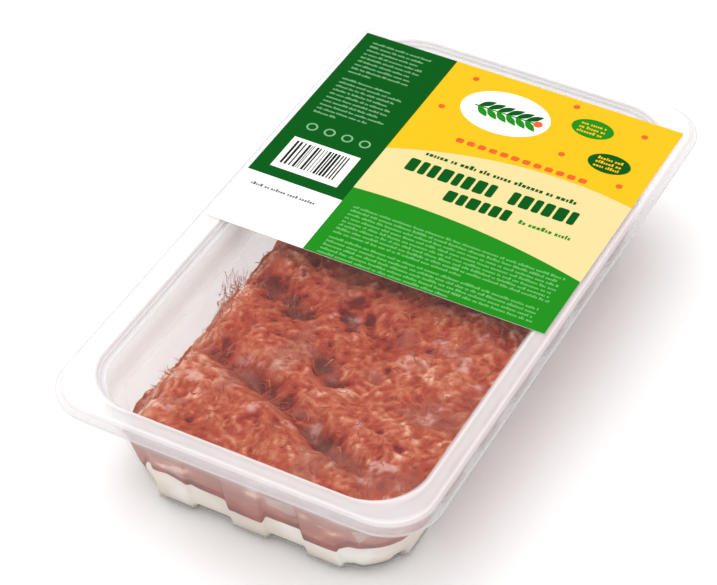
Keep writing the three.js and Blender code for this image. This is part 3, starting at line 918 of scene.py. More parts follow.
class StrandRelief:
    """Strands pressed and smeared into the heap, on a square raster. The highest strand at each cell
    wins, the whole is blurred, and pits are pressed in. Kept are the height over the heap, the
    strands' tone, how deep each cell lies below what is around it, the streaks and the pits."""

    def __init__(self, settings):
        rng = np.random.default_rng(SEED["relief"])
        self.columns = int(2 * RASTER_HALF[0] / RASTER) + 1
        self.rows = int(2 * RASTER_HALF[1] / RASTER) + 1
        keys = np.zeros(self.columns * self.rows, np.int64)
        for _ in range(settings.strand_layers):
            self._stamp(rng, keys, settings.strand_width / 2)
        keys = keys.reshape(self.rows, self.columns)
        strands = np.maximum((keys >> 10) / 1000 - 8, -0.7)
        x = np.arange(self.columns)[None, :] * RASTER - RASTER_HALF[0]
        y = np.arange(self.rows)[:, None] * RASTER - RASTER_HALF[1]
        smear = settings.smear / RASTER
        self.fibre = fibre_streaks(x, y)
        self.pit = pit_depth(x, y)
        lumps = 0.7 * fractal(x, y, 7.0, SEED["lumps"]) + 0.22 * self.fibre
        self.height = 0.34 * blur(strands, smear) + lumps - self.pit
        self.tone = blur(np.where(keys > 0, (keys & 1023) / 1023, 0.1), 0.8 * smear)
        whole = heap_height(x, y) + self.height
        self.cavity = blur(whole, 1.8 / RASTER) - whole

    def _stamp(self, rng, keys, radius):
        """One layer: each strand is a row of discs whose height is base + sqrt(r^2 - d^2)."""
        count, points = 1800, 30
        path = strand_paths(rng, count, (3.5, 9.0), points, 0.8)
        taper = np.sin(math.pi * np.linspace(0.06, 0.94, points)) ** 0.4
        width = radius * rng.uniform(0.6, 1.35, count)[:, None] * taper
        base = rng.normal(0, 0.42, count)[:, None] - 0.1
        tone = np.clip(rng.normal(0.44, 0.16, count), 0, 1)
        fat = rng.uniform(0, 1, count) < 0.09
        tone = np.where(fat, rng.uniform(0.8, 1.0, count), tone)
        reach = int(np.ceil(1.4 * radius / RASTER))
        offset = np.arange(-reach, reach + 1)
        column = np.round((path[..., 0] + RASTER_HALF[0]) / RASTER).astype(np.int64)
        row = np.round((path[..., 1] + RASTER_HALF[1]) / RASTER).astype(np.int64)
        for di in offset:
            for dj in offset:
                i, j = column + di, row + dj
                dx = i * RASTER - RASTER_HALF[0] - path[..., 0]
                dy = j * RASTER - RASTER_HALF[1] - path[..., 1]
                rise = width**2 - dx**2 - dy**2
                use = (rise > 0) & (i >= 0) & (j >= 0) & (i < self.columns) & (j < self.rows)
                height = (base + np.sqrt(np.maximum(rise, 0)))[use]
                tones = np.broadcast_to(tone[:, None], use.shape)[use]
                key = (np.round((height + 8) * 1000).astype(np.int64) << 10) + (tones * 1023).astype(int)
                np.maximum.at(keys, (j * self.columns + i)[use], key)

    def sample(self, x, y):
        """Height over the heap, tone, cavity, streak and pit at plan points, blended between cells."""
        u = np.clip((x + RASTER_HALF[0]) / RASTER, 0, self.columns - 1.001)
        v = np.clip((y + RASTER_HALF[1]) / RASTER, 0, self.rows - 1.001)
        i, j = u.astype(int), v.astype(int)
        fu, fv = u - i, v - j
        found = []
        for field in (self.height, self.tone, self.cavity, self.fibre, self.pit):
            near = mix(field[j, i], field[j, i + 1], fu)
            far = mix(field[j + 1, i], field[j + 1, i + 1], fu)
            found.append(mix(near, far, fv))
        return found


def fibre_streaks(x, y):
    """Fine streaks of muscle fibre, from -1 to 1: noise drawn out four to one in four directions, of
    which wide patches show one each."""
    total, weights = 0.0, 0.0
    for k in range(4):
        turn = 0.35 + k * math.pi / 4
        u = x * math.cos(turn) + y * math.sin(turn)
        v = y * math.cos(turn) - x * math.sin(turn)
        bend = 1.6 * noise(x / 6, y / 6, SEED["streak_bend"] + k)
        coarse = noise(u / 4.4, v / 1.1 + bend, SEED["coarse_streaks"] + k)
        fine = noise(u / 2.4, v / 0.6 + bend, SEED["fine_streaks"] + k)
        weight = smooth(noise(x / 7, y / 7, SEED["streak_patches"] + k), 0.35, 0.75) + 0.02
        total = total + weight * (coarse + 0.8 * fine - 0.9)
        weights = weights + weight
    return 1.6 * total / weights


def pit_depth(x, y):
    """Small pits: 1.1 mm deep on average, gathered along the dents, with some strays. Each is
    depth * exp(-(distance / radius)^2), those of the dents drawn out to 1.8 times their width."""
    rng = np.random.default_rng(SEED["pits"])
    total = np.zeros(np.broadcast(x, y).shape)
    for (ax, ay), (bx, by), width, depth in DENTS:
        if depth < 0:
            continue
        for _ in range(7):
            share = rng.uniform(-0.15, 1.15)
            px = mix(ax, bx, share) + rng.normal(0, 0.9 * width)
            py = mix(ay, by, share) + rng.normal(0, 0.6 * width)
            radius = rng.uniform(0.9, 2.2)
            turn = rng.uniform(0, math.pi)
            along = (x - px) * math.cos(turn) + (y - py) * math.sin(turn)
            across = (y - py) * math.cos(turn) - (x - px) * math.sin(turn)
            total += rng.uniform(0.5, 1.7) * np.exp(-((along / 1.8) ** 2 + across**2) / radius**2)
    strays = 60
    places = rng.uniform(-44, 44, strays), rng.uniform(-90, 90, strays), rng.uniform(0.8, 1.6, strays)
    for px, py, radius in zip(*places):
        total += rng.uniform(0.2, 0.8) * np.exp(-((x - px) ** 2 + (y - py) ** 2) / radius**2)
    return total


def meat_surface(relief, x, y):
    """Height of the mince with its strands, never above MEAT_TOP."""
    height = relief.sample(x, y)[0]
    return np.minimum(heap_height(x, y) + height, MEAT_TOP)


def meat_tones(relief, x, y):
    """Tone, wet and gel shares on top of the mince: lighter on raised strands and deep red in hollows,
    dents and pits, which is painted light and shade, lighter on the left shoulder as painted light,
    a grey-brown glaze in the bottoms of the dents, and pale gel in a few patches."""
    tone, cavity, fibre, pit = relief.sample(x, y)[1:]
    hollow = np.clip(dent_depth(x, y) / 5, -0.4, 1)
    cloud = fractal(x, y, 13.0, SEED["clouds"])
    value = 0.45 + 0.65 * (tone - 0.45) + 0.16 * cloud + 0.16 * fibre
    # Painted shade and light: darker in cavities, dents and pits, lighter on the strands that stand out.
    value -= 0.4 * np.clip(cavity, -0.3, 0.7) + 0.12 * hollow + 0.34 * np.clip(pit, 0, 1.3)
    # Painted light: the left shoulder, which falls away towards the wall and into shade, is made lighter.
    value += 0.26 * smooth(-x, 30, 37) * smooth(-y, -10, 10)
    pool = smooth(noise(x / 5, y / 5, SEED["pools"]) + 0.2 * fibre, 0.3, 0.75)
    pool = smooth(hollow, 0.45, 0.9) * pool
    veil = 0.4 * smooth(noise(x / 9 + 3, y / 9, SEED["veil"]) + 0.1 * fibre, 0.6, 0.85)
    spots = smooth(noise(x / 5.5, y / 4, SEED["gel"]), 0.74, 0.95)
    spots = spots * smooth(fractal(x, y, 2.0, SEED["gel_grain"]), -0.4, 0.5)
    return np.clip(value, 0, 1), np.clip(np.maximum(veil, 0.6 * pool), 0, 0.6), 0.7 * spots


def border_places(run, relief):
    """Where the top of the mince meets the wall, by repeating z = height(plan(z)) until it holds."""
    z = np.full(run.count, MEAT_LEVEL)
    for _ in range(24):
        x, y = run.plan(wall_inset(z, run.foot) - INTO_WALL)
        z = mix(z, meat_surface(relief, x, y), 0.6)
    return x, y, z


class PatchRun(Run):
    """A run whose places match the border of a grid: equal counts on opposite sides, with the grid's
    corners in the middle of the outline's arcs and closer places towards the near end."""

    def __init__(self, across, near, far):
        middle = (CORNER_FROM + CORNER_TO) / 2
        short = np.linspace(0, middle, across // 2 + 1)
        self.across, self.long = across, near + far
        near_long = np.linspace(middle, BASE_QUARTER, near + 1)
        far_long = np.linspace(middle, BASE_QUARTER, far + 1)
        super().__init__(np.array([0.0, 1.0]))
        parts = [
            (short, 1, -1), (near_long[1:], 1, -1),
            (far_long[::-1][1:], 1, 1), (short[::-1][1:], 1, 1),
            (short[1:], -1, 1), (far_long[1:], -1, 1),
            (near_long[::-1][1:], -1, -1), (short[::-1][1:-1], -1, -1),
        ]
        self.along = np.concatenate([part[0] for part in parts])
        self.sign_x = np.concatenate([np.full(len(part[0]), part[1]) for part in parts])
        self.sign_y = np.concatenate([np.full(len(part[0]), part[2]) for part in parts])
        footed = self.sign_x * self.sign_y < 0
        self.foot = np.where(footed, foot_weight(self.along, True), foot_weight(self.along, False))
        self.count = len(self.along)
        self._weights()

    def sides(self):
        """Numbers of the run's places along the near, right, far and left borders of the grid."""
        half = self.across // 2
        number = np.arange(self.count + 1) % self.count
        right_start = half
        far_start = right_start + self.long
        left_start = far_start + self.across
        near = np.concatenate([number[-1 - half : -1], number[: half + 1]])
        right = number[right_start : far_start + 1]
        far = number[far_start : left_start + 1][::-1]
        left = number[left_start : left_start + self.long + 1][::-1]
        return near, right, far, left


def build_mince(settings, relief):
    """The mince: its top is a blended patch between the places where it meets the wall, and a skirt
    runs from there down the wall into the plastic, steps in behind the pad's edge and ends on it."""
    run = PatchRun(*MEAT_GRID)
    border_x, border_y, border_z = border_places(run, relief)
    border = np.stack([border_x, border_y], axis=1)
    near, right, far, left = run.sides()
    plan = side_patch(border[near], border[right], border[far], border[left])
    rows, columns = plan.shape[:2]
    x, y = plan[..., 0], plan[..., 1]
    z = meat_surface(relief, x, y)
    z[0], z[-1], z[:, 0], z[:, -1] = border_z[near], border_z[far], border_z[left], border_z[right]
    tone, wet, gel = meat_tones(relief, x, y)
    top = np.stack([x, y, z], axis=-1).reshape(-1, 3)
    number = np.arange(rows * columns).reshape(rows, columns)
    half = run.across // 2
    rim = np.concatenate([
        number[0, half:-1], number[:-1, -1], number[-1, :0:-1], number[:0:-1, 0], number[0, :half]
    ])
    skirt, skirt_tone, skirt_wet = mince_skirt(run, border_z)
    levels = len(skirt) // run.count
    first = len(top)
    ring = np.concatenate([rim, first + np.arange(len(skirt))]).reshape(levels + 1, run.count)
    i = np.arange(levels)[:, None]
    j = np.arange(run.count)[None, :]
    after = (j + 1) % run.count
    down = np.stack([ring[i + 1, j], ring[i + 1, after], ring[i, after], ring[i, j]], axis=-1)
    centre = first + len(skirt)
    points = np.vstack([top, skirt, [[0, 0, skirt[-1, 2]]]])
    faces = [
        grid_faces(rows, columns, closed=False),
        down.reshape(-1, 4),
        fan_faces(ring[-1], centre, outwards=False),
    ]
    attributes = [
        ("tone", np.concatenate([tone.ravel(), skirt_tone, [0.5]])),
        ("wet", np.concatenate([wet.ravel(), skirt_wet, [0.0]])),
        ("gel", np.concatenate([gel.ravel(), np.zeros(len(skirt) + 1)])),
    ]
    mesh = make_mesh("mince_core", points, faces, attributes)
    material = moist_meat("ground_poultry", flesh_stops(settings), CORE_ROUGHNESS)
    add_piece(mesh, material, "mince")


def mince_skirt(run, border_z):
    """Points of the mince's side, level by level, with tones: pressed against the wall with air
    pockets, paler over them as painted light, darker with juice near the pad, and in behind the pad
    below its edge."""
    edge = pad_edge(run)
    share = np.linspace(0, 1, 20)[1:, None]
    z = mix(border_z, edge + 0.3, share)
    x, y = run.plan(wall_inset(z, run.foot))
    around = np.arctan2(y, x) * 60
    pocket = smooth(noise(around / 3.4, z / 2.6, SEED["pockets"]), 0.62, 0.85)
    pocket *= smooth(share, 0.0, 0.15) * (1 - smooth(share, 0.85, 1.0))
    inset = wall_inset(z, run.foot) - INTO_WALL + 0.15 * pocket
    streak = fractal(around / 1.6, z, 2.6, SEED["side_streaks"])
    rise = 1.5 + 2.2 * noise(around / 3.0, 0.5, SEED["juice_rise"])
    juice = smooth(noise(around / 7, 0.5, SEED["juice"]), 0.1, 0.35)
    juice = (1 - smooth(z, edge + rise, edge + rise + 0.9)) * juice
    # The share over the air pockets is painted light: the wall looks whiter where the meat leaves it.
    tone = 0.46 + 0.26 * streak + 0.15 * pocket - 0.4 * juice
    fat = np.zeros(z.shape)
    for place, level, width in FAT_BLOBS:
        away = ((x - place) / width) ** 2 + ((z - level) / (0.55 * width)) ** 2
        fat += np.exp(-away) * (y < 0)
    tone += 0.65 * fat
    inner_z = mix(edge, FLOOR + GAP + PAD + 0.1, np.array([[0.1], [0.55], [1.0]]))
    inner = wall_inset(inner_z, run.foot) + PAD - 0.1
    all_z = np.vstack([z, inner_z])
    x, y = run.plan(np.vstack([inset, inner]))
    hidden = np.full(inner_z.shape, 0.4)
    tone = np.vstack([tone, hidden]).ravel()
    wet = np.vstack([0.4 * (1 - juice) * (1 - np.minimum(fat, 1)), 0 * hidden]).ravel()
    return np.stack([x, y, all_z], axis=-1).reshape(-1, 3), np.clip(tone, 0, 1), wet


def flesh_stops(settings):
    """Colour stops of the mince, from its deepest hollows to fat."""
    return [
        (0.0, linear("#6A160B")),
        (0.2, linear("#962C17")),
        (0.43, tuple(settings.lean_colour)),
        (0.65, linear("#BC6648")),
        (0.83, linear("#CC8A70")),
        (1.0, linear("#E4B9A6")),
    ]


TUBE_SIDES = 5


def tube_mesh(name, paths, radii, tones):
    """Closed tubes of TUBE_SIDES sides: ring points are path + r (cos a * side + sin a * normal), with r
    tapering as sin^0.5 to a tip at each end."""
    count, points = paths.shape[:2]
    sides = TUBE_SIDES
    tangent = np.gradient(paths, axis=1)
    tangent /= np.linalg.norm(tangent, axis=-1, keepdims=True)
    side = np.cross(tangent, np.array([0.0, 0.0, 1.0]))
    side /= np.maximum(np.linalg.norm(side, axis=-1, keepdims=True), 1e-6)
    normal = np.cross(side, tangent)
    angle = np.arange(sides) * 2 * math.pi / sides
    taper = np.sin(math.pi * np.linspace(0.08, 0.92, points)) ** 0.5
    width = radii[:, None] * taper
    ring = np.cos(angle)[:, None] * side[:, :, None] + np.sin(angle)[:, None] * normal[:, :, None]
    rings = paths[:, :, None] + width[..., None, None] * ring
    tips = np.stack([
        paths[:, 0] - tangent[:, 0] * radii[:, None] * 0.6,
        paths[:, -1] + tangent[:, -1] * radii[:, None] * 0.6,
    ], axis=1)
    block = points * sides + 2
    vertices = np.concatenate([rings.reshape(count, -1, 3), tips], axis=1).reshape(-1, 3)
    first = np.arange(count)[:, None, None] * block
    body = grid_faces(points, sides, closed=True)[:, ::-1]
    start = fan_faces(np.arange(sides), points * sides, outwards=True)
    end = fan_faces((points - 1) * sides + np.arange(sides), points * sides + 1, outwards=False)
    faces = [(first + part[None]).reshape(-1, part.shape[1]) for part in (body, start, end)]
    still = np.zeros(count * block)
    attributes = [("tone", np.repeat(tones, block)), ("wet", still), ("gel", still)]
    return make_mesh(name, vertices, faces, attributes)


class StrandKind(NamedTuple):
    """Loose strands of one kind: how many, their ranges of length, radius and tone, and roughness."""

    name: str
    count: int
    length: tuple
    radius: tuple
    tone: tuple
    roughness: float


STRAND_KINDS = (
    StrandKind("muscle_strands", 1500, (2.0, 6.0), (0.1, 0.24), (0.34, 0.6), 0.65),
    StrandKind("pale_strands", 800, (2.0, 5.5), (0.08, 0.18), (0.46, 0.64), 0.65),
    StrandKind("fat_shreds", 160, (1.5, 4.0), (0.1, 0.24), (0.64, 0.84), 0.6),
)
STRAND_POINTS = 9
# Hairs out of the left side of the heap, and wisps on the wall over it, for each kind
HAIRS = 70
WISPS = 22


def build_loose_strands(settings, relief):
    """Loose strands, one mesh for each kind: half sunk into the mince, standing out of its left side,
    and left on the wall above it."""
    stops = flesh_stops(settings)
    for number, kind in enumerate(STRAND_KINDS):
        rng = np.random.default_rng(SEED["loose"] + number)
        plan = strand_paths(rng, kind.count, kind.length, STRAND_POINTS, 1.1)
        keep = inside_meat(plan)
        plan = plan[keep]
        size = rng.uniform(*kind.radius, kind.count)[keep]
        tones = rng.uniform(*kind.tone, kind.count)[keep]
        z = meat_surface(relief, plan[..., 0], plan[..., 1])
        z = 0.5 * z + 0.25 * (np.roll(z, 1, axis=1) + np.roll(z, -1, axis=1))
        z[:, 0], z[:, -1] = z[:, 1], z[:, -2]
        z += (size * rng.uniform(-0.75, 0.25, len(size)))[:, None]
        z = np.minimum(z, LOOSE_TOP)
        paths = np.concatenate([plan, z[..., None]], axis=-1)
        hairs = shoulder_strands(rng, relief, HAIRS)
        wisps = wall_strands(rng, WISPS)
        paths = np.concatenate([paths, hairs, wisps])
        size = np.concatenate([size, rng.uniform(0.07, 0.14, len(hairs) + len(wisps))])
        hair_tones = rng.uniform(0.5, 0.7, len(hairs))
        tones = np.concatenate([tones, hair_tones, rng.uniform(0.7, 1.0, len(wisps))])
        mesh = tube_mesh(kind.name, paths, size, tones)
        material = moist_meat("ground_" + kind.name, stops, kind.roughness)
        add_piece(mesh, material, "mince")


def shoulder_strands(rng, relief, count):
    """Short strands that stand out of the heap where it falls away to the left: each bends at random
    in plan and lifts off with the share along it, plus or minus a part of its square."""
    x = rng.uniform(-41, -31, count)[:, None]
    y = rng.uniform(-78, -8, count)[:, None]
    t = np.linspace(0, 1, STRAND_POINTS)[None, :]
    angle = math.pi + rng.normal(0, 1.1, (count, 1)) + rng.normal(0, 1.2, (count, 1)) * t
    reach = rng.uniform(1.0, 3.2, (count, 1))
    px, py = x + reach * t * np.cos(angle), y + reach * t * np.sin(angle)
    start = meat_surface(relief, x, y) - 0.3
    lift = rng.uniform(0.1, 1.3, (count, 1)) * t + rng.normal(0, 0.5, (count, 1)) * t * t
    z = np.minimum(start + lift, LOOSE_TOP)
    return np.stack([px, py, z], axis=-1)


def wall_strands(rng, count):
    """Wisps left on the inside of the left wall above the mince, bent over the plastic."""
    y = rng.uniform(-26, -10, count)[:, None]
    start = rng.triangular(15, 16, 23, count)[:, None]
    t = np.linspace(0, 1, STRAND_POINTS)[None, :]
    lean = rng.normal(0.3, 0.8, (count, 1))
    reach = rng.uniform(1.5, 4.5, (count, 1))
    py = y + reach * t * np.sin(lean) + 0.3 * np.sin(3 * math.pi * t + y)
    z = start + reach * t * np.cos(lean)
    px = wall_inset(z, 0.0) + 0.15 - RIM_HALF_WIDTH
    return np.stack([px, py, z], axis=-1)


def inside_meat(plan):
    """True for the paths whose points all lie inside the wall at the level of the mince."""
    x, y = plan[..., 0], plan[..., 1]
    inset = wall_inset(np.minimum(heap_height(x, y), WALL_TOP), 0.0) + 0.6
    radius = corner_radius(inset)
    dx = np.maximum(np.abs(x) - (RIM_HALF_WIDTH - inset - radius), 0)
    dy = np.maximum(np.abs(y) - (RIM_HALF_LENGTH - inset - radius), 0)
    return np.all(np.hypot(dx, dy) < radius, axis=1)


# Label


# Its inks take the top of its solid's thickness in layers, and reach a little into the sheet
INK_HEIGHT = 0.1
INK_LAYERS = 5
INK_SUNK = 0.005


def prism(outline, low, high, first):
    """A flat prism from an outline in plan, anticlockwise, between two heights: its points, and its
    faces numbered from `first`: the two ends, and a quad from each point to the next."""
    count = len(outline)
    number = first + np.arange(count)
    after = np.roll(number, -1)
    points = [np.column_stack([outline, np.full(count, z)]) for z in (low, high)]
    sides = np.stack([number, after, after + count, number + count], axis=1)
    return np.vstack(points), [number[None, ::-1], number[None] + count, sides]


def blob(cx, cy, rx, ry, degrees=0.0, count=28):
    """Outline of an ellipse turned by an angle."""
    t = np.linspace(0, 2 * math.pi, count, endpoint=False)
    turn = math.radians(degrees)
    x, y = rx * np.cos(t), ry * np.sin(t)
    return np.column_stack([
        cx + x * math.cos(turn) - y * math.sin(turn),
        cy + x * math.sin(turn) + y * math.cos(turn),
    ])


def leaf(cx, cy, length, width, degrees):
    """Outline of a leaf: two arcs width * sin(pi s) either side of its line."""
    s = np.linspace(0, 1, 9)
    upper = np.column_stack([length * s, width * np.sin(math.pi * s)])
    lower = np.column_stack([length * s[::-1], -width * np.sin(math.pi * s[::-1])])[1:-1]
    shape = np.vstack([upper, lower])[::-1]
    turn = math.radians(degrees)
    spin = np.array([[math.cos(turn), math.sin(turn)], [-math.sin(turn), math.cos(turn)]])
    return shape @ spin + (cx, cy)


def rectangle(x0, x1, y0, y1):
    """Outline of an upright rectangle."""
    return np.array([(x0, y0), (x1, y0), (x1, y1), (x0, y1)], float)


def letter_blocks(rng, x0, x1, y, size):
    """Plain blocks in the place of one line of small print: words of two to nine blocks, each a
    third to two thirds of the size wide, some as tall as capitals."""
    blocks = []
    x = x0
    while x < x1:
        for _ in range(rng.integers(2, 10)):
            width = size * rng.uniform(0.3, 0.62)
            tall = size * rng.choice([0.66, 0.66, 0.66, 1.0])
            if x + width < x1:
                blocks.append(rectangle(x, x + width, y, y + tall))
            x += width + 0.2 * size
        x += 0.45 * size
    return blocks


def rounded_block(x0, x1, y0, y1, corner, count=6):
    """Outline of an upright rectangle whose corners are arcs of a radius."""
    turn = np.linspace(0, math.pi / 2, count)
    arc = corner * np.column_stack([np.cos(turn), np.sin(turn)])
    left, right, low, high = x0 + corner, x1 - corner, y0 + corner, y1 - corner
    flip = np.array([-1, 1])
    return np.vstack([
        arc + (right, high), (arc * flip)[::-1] + (left, high),
        (left, low) - arc, (arc * -flip)[::-1] + (right, low),
    ])


def headline(x0, widths, y, tall, gap):
    """Rounded blocks side by side in the place of a word of large print."""
    starts = x0 + np.concatenate([[0], np.cumsum(np.array(widths[:-1]) + gap)])
    return [rounded_block(x, x + width, y, y + tall, 0.7) for x, width in zip(starts, widths)]


def band(x0, x1, lower, upper, count=48):
    """Outline of a band between two curves over x."""
    x = np.linspace(x0, x1, count)
    return np.vstack([np.column_stack([x, lower(x)]), np.column_stack([x, upper(x)])[::-1]])


# Print on the label, as places in plan: the side field's edge and the top of the white corner
LABEL_FOLD = -23.4
LABEL_CORNER = 11.0
# Panel and its stripes as (left, right, near, far), and the stripes' widths and gaps
PANEL = (-51.0, -27.8, 15.5, 31.5)
STRIPES = (-49.2, -30.2, 18.0, 30.0)
STRIPE_WIDTHS = [0.28, 0.5, 0.8]
STRIPE_GAPS = [0.35, 0.55, 0.8]
# Rings as (first place, level, pitch, outer radius, inner radius)
RINGS = (-48.5, 38.2, 6.2, 1.9, 1.3)
# Words of large print as (start, widths of the blocks, level, height, gap)
LARGE_WORDS = (
    (-14.0, (3.4, 2.4, 2.8, 3.6, 2.4, 3.0, 3.4, 2.4), 33.4, 6.2, 0.9),
    (21.0, (2.6, 3.4, 2.4, 3.0, 3.6, 2.4), 33.4, 6.2, 0.9),
    (3.0, (3.4, 2.6, 3.6, 2.4, 3.0, 2.6), 25.6, 5.2, 0.8),
)
# Single lines of print as (start, end, level, size)
CORNER_LINE = (-52.0, -30.0, 5.0, 1.3)
UPPER_LINE = (-11.0, 41.0, 42.6, 2.0)
LOWER_LINE = (28.0, 46.0, 26.6, 1.8)
# Row of blocks over the front as (first place, near, far, pitch, width)
BLOCK_ROW = (-6.0, 53.0, 55.2, 3.8, 2.6)
OVAL = (2.0, 73.0)
BADGES = ((29.5, 79.0, "grass"), (41.0, 65.5, "deep"))
DOTS = ((-17.5, 67.0), (-14.0, 85.0), (20.5, 87.0), (26.0, 63.0), (45.5, 83.0), (48.0, 57.0))


class SmallPrint(NamedTuple):
    """Two paragraphs of small print: how many rows in all, where they start and between which places
    they end, the two last rows and where those end, and the first level, pitch, gap and size."""

    rows: int
    start: float
    ends: tuple
    last_rows: tuple
    last_end: float
    level: float
    pitch: float
    gap: float
    size: float


SIDE_PRINT = SmallPrint(19, -52.0, (-34, -29), (8, 18), -44.0, 86.0, 2.15, 2.0, 0.95)
LOWER_PRINT = SmallPrint(13, -19.0, (49, 51.5), (7, 12), 24.0, 9.6, 1.85, 0.8, 1.05)


def label_inks(settings):
    """Inks by name, linear: the four that a user may change and six fixed ones."""
    fixed = {
        "white": "#F6F6F2", "pale": "#79AC7C", "soft": "#6AB264",
        "ember": "#E2602A", "black": "#1A1C1A", "grey": "#5D6460",
    }
    inks = {name: linear(code) for name, code in fixed.items()}
    inks["deep"], inks["grass"] = settings.deep_green, settings.mid_green
    inks["sun"], inks["cream"] = settings.yellow, settings.cream
    return inks


def arch(top, middle=0.0, bend=0.0):
    """A flat arch over x: top - bend (x - middle)^2, level where the bend is nil."""
    return lambda x: top - bend * (x - middle) ** 2


def colour_fields():
    """The deep green side field, the cream front, and its yellow and green fields with arched edges."""
    (left, near), (right, far) = LABEL_LOW[:2], LABEL_HIGH[:2]
    return [
        (1, "deep", rectangle(left, LABEL_FOLD, LABEL_CORNER, far)),
        (1, "cream", rectangle(LABEL_FOLD, right, near, far)),
        (2, "sun", band(LABEL_FOLD, right, arch(52, 30, 0.0042), arch(far))),
        (2, "grass", band(LABEL_FOLD, right, arch(near), arch(19, -4, 0.0022))),
    ]


def striped_panel(rng):
    """A white panel with upright stripes, their widths and gaps drawn from three each."""
    shapes = [(3, "white", rectangle(*PANEL))]
    x, end, near, far = STRIPES
    while x < end:
        width = rng.choice(STRIPE_WIDTHS)
        shapes.append((4, "black", rectangle(x, x + width, near, far)))
        x += width + rng.choice(STRIPE_GAPS)
    return shapes


def ring_row(count=4):
    """Plain rings: pale discs under smaller ones of the field's colour."""
    first, level, pitch, outer, inner = RINGS
    shapes = []
    for k in range(count):
        shapes.append((3, "pale", blob(first + pitch * k, level, outer, outer)))
        shapes.append((4, "deep", blob(first + pitch * k, level, inner, inner)))
    return shapes


def small_print(rng, ink, paragraphs):
    """Rows of letter-size blocks in two paragraphs."""
    shapes = []
    for row in range(paragraphs.rows):
        lower = paragraphs.gap if row > paragraphs.last_rows[0] else 0.0
        level = paragraphs.level - paragraphs.pitch * row - lower
        last = row in paragraphs.last_rows
        end = paragraphs.last_end if last else rng.uniform(*paragraphs.ends)
        blocks = letter_blocks(rng, paragraphs.start, end, level, paragraphs.size)
        shapes += [(3, ink, block) for block in blocks]
    return shapes


def block_row(count=12):
    """A row of wide rounded blocks over the front."""
    first, near, far, pitch, width = BLOCK_ROW
    places = [first + pitch * k for k in range(count)]
    return [(3, "ember", rounded_block(x, x + width, near, far, 0.7)) for x in places]


def sprig_oval():
    """A white oval with a plain sprig on it: a stem, six pairs of leaves and a round bud."""
    middle, level = OVAL
    stem = level - 0.1
    stem_half, leaf_start, leaf_pitch = 10.5, 9.5, 3.3
    shapes = [
        (3, "white", blob(middle, level, 15.0, 10.5, count=48)),
        (4, "grass", band(middle - stem_half, middle + stem_half, arch(stem - 0.3), arch(stem + 0.3))),
    ]
    for k in range(6):
        x = middle - leaf_start + leaf_pitch * k
        for side, ink in ((-1, "grass"), (1, "deep")):
            shapes.append((5, ink, leaf(x, stem, 6.3, 1.2, side * 40)))
    shapes.append((5, "ember", blob(middle + 11.4, stem, 1.5, 1.5)))
    return shapes


def badges(rng):
    """Two small green ovals with three lines of blocks each."""
    shapes = []
    half_line, size = 4.4, 1.3
    for x, y, ink in BADGES:
        shapes.append((3, ink, blob(x, y, 7.0, 4.6, count=40)))
        for level in (y + 1.2, y - 0.8, y - 2.8):
            blocks = letter_blocks(rng, x - half_line, x + half_line, level, size)
            shapes += [(4, "sun", block) for block in blocks]
    return shapes


def label_shapes():
    """The print as (layer, ink, outline): fields of colour first, then marks on them."""
    rng = np.random.default_rng(SEED["print"])
    shapes = colour_fields() + striped_panel(rng) + ring_row()
    shapes += small_print(rng, "pale", SIDE_PRINT) + small_print(rng, "soft", LOWER_PRINT)
    shapes += [(2, "grey", block) for block in letter_blocks(rng, *CORNER_LINE)]
    for word in LARGE_WORDS:
        shapes += [(3, "deep", block) for block in headline(*word)]
    shapes += [(3, "deep", block) for block in letter_blocks(rng, *UPPER_LINE)]
    shapes += [(3, "grass", block) for block in letter_blocks(rng, *LOWER_LINE)]
    shapes += block_row() + sprig_oval() + badges(rng)
    return shapes + [(3, "ember", blob(x, y, 1.1, 1.1)) for x, y in DOTS]


def build_label(settings):
    """The label: a paper sheet and its inks as thin closed prisms, each layer a hair above the last,
    all inside the thickness of its solid."""
    low, high = LABEL_LOW[2], LABEL_HIGH[2]
    sheet_top = high - INK_HEIGHT
    layer = INK_HEIGHT / INK_LAYERS
    (left, near), (right, far) = LABEL_LOW[:2], LABEL_HIGH[:2]
    inks = label_inks(settings)
    outlines = [(inks["white"], rectangle(left, right, near, far), low, sheet_top)]
    for level, ink, outline in label_shapes():
        outlines.append((inks[ink], outline, sheet_top - INK_SUNK, sheet_top + level * layer))
    points, faces, colours = [], [], []
    first = 0
    for ink, outline, bottom, top in outlines:
        prism_points, prism_faces = prism(outline, bottom, top, first)
        points.append(prism_points)
        faces += prism_faces
        colours.append(np.tile((*ink, 1.0), (len(prism_points), 1)))
        first += len(prism_points)
    ink_values = [("ink", np.vstack(colours))]
    mesh = make_mesh("printed_label", np.vstack(points), faces, ink_values, sharp=30)
    add_piece(mesh, printed_paper(), "label")


# Stage


def build_stage(settings):
    """Pale floor, a wide soft light overhead, a fill from the left, and the photograph's camera."""
    corners = np.array([(-1, -1, 0), (1, -1, 0), (1, 1, 0), (-1, 1, 0)]) * FLOOR_HALF
    mesh = make_mesh("studio_floor", corners, [np.array([[0, 1, 2, 3]])])
    floor = bpy.data.objects.new("studio_floor", mesh)
    bpy.context.scene.collection.objects.link(floor)
    mesh.materials.append(studio_floor(settings))
    for name, place, size, share in SOFTBOXES:
        data = bpy.data.lights.new(name, "AREA")
        data.shape = "SQUARE"
        data.size = size
        data.energy = settings.light * share
        lamp = bpy.data.objects.new(name, data)
        lamp.location = place
        aim = Vector(SOFTBOX_AIM) - Vector(place)
        lamp.rotation_euler = aim.to_track_quat("-Z", "Y").to_euler()
        bpy.context.scene.collection.objects.link(lamp)
    world = bpy.data.worlds.new("studio_world")
    world.use_nodes = True
    sky = world.node_tree.nodes["Background"]
    sky.inputs["Color"].default_value = (1.0, 1.0, 1.0, 1.0)
    sky.inputs["Strength"].default_value = settings.fill
    bpy.context.scene.world = world
    bpy.context.scene.view_settings.view_transform = "Standard"
    build_camera()


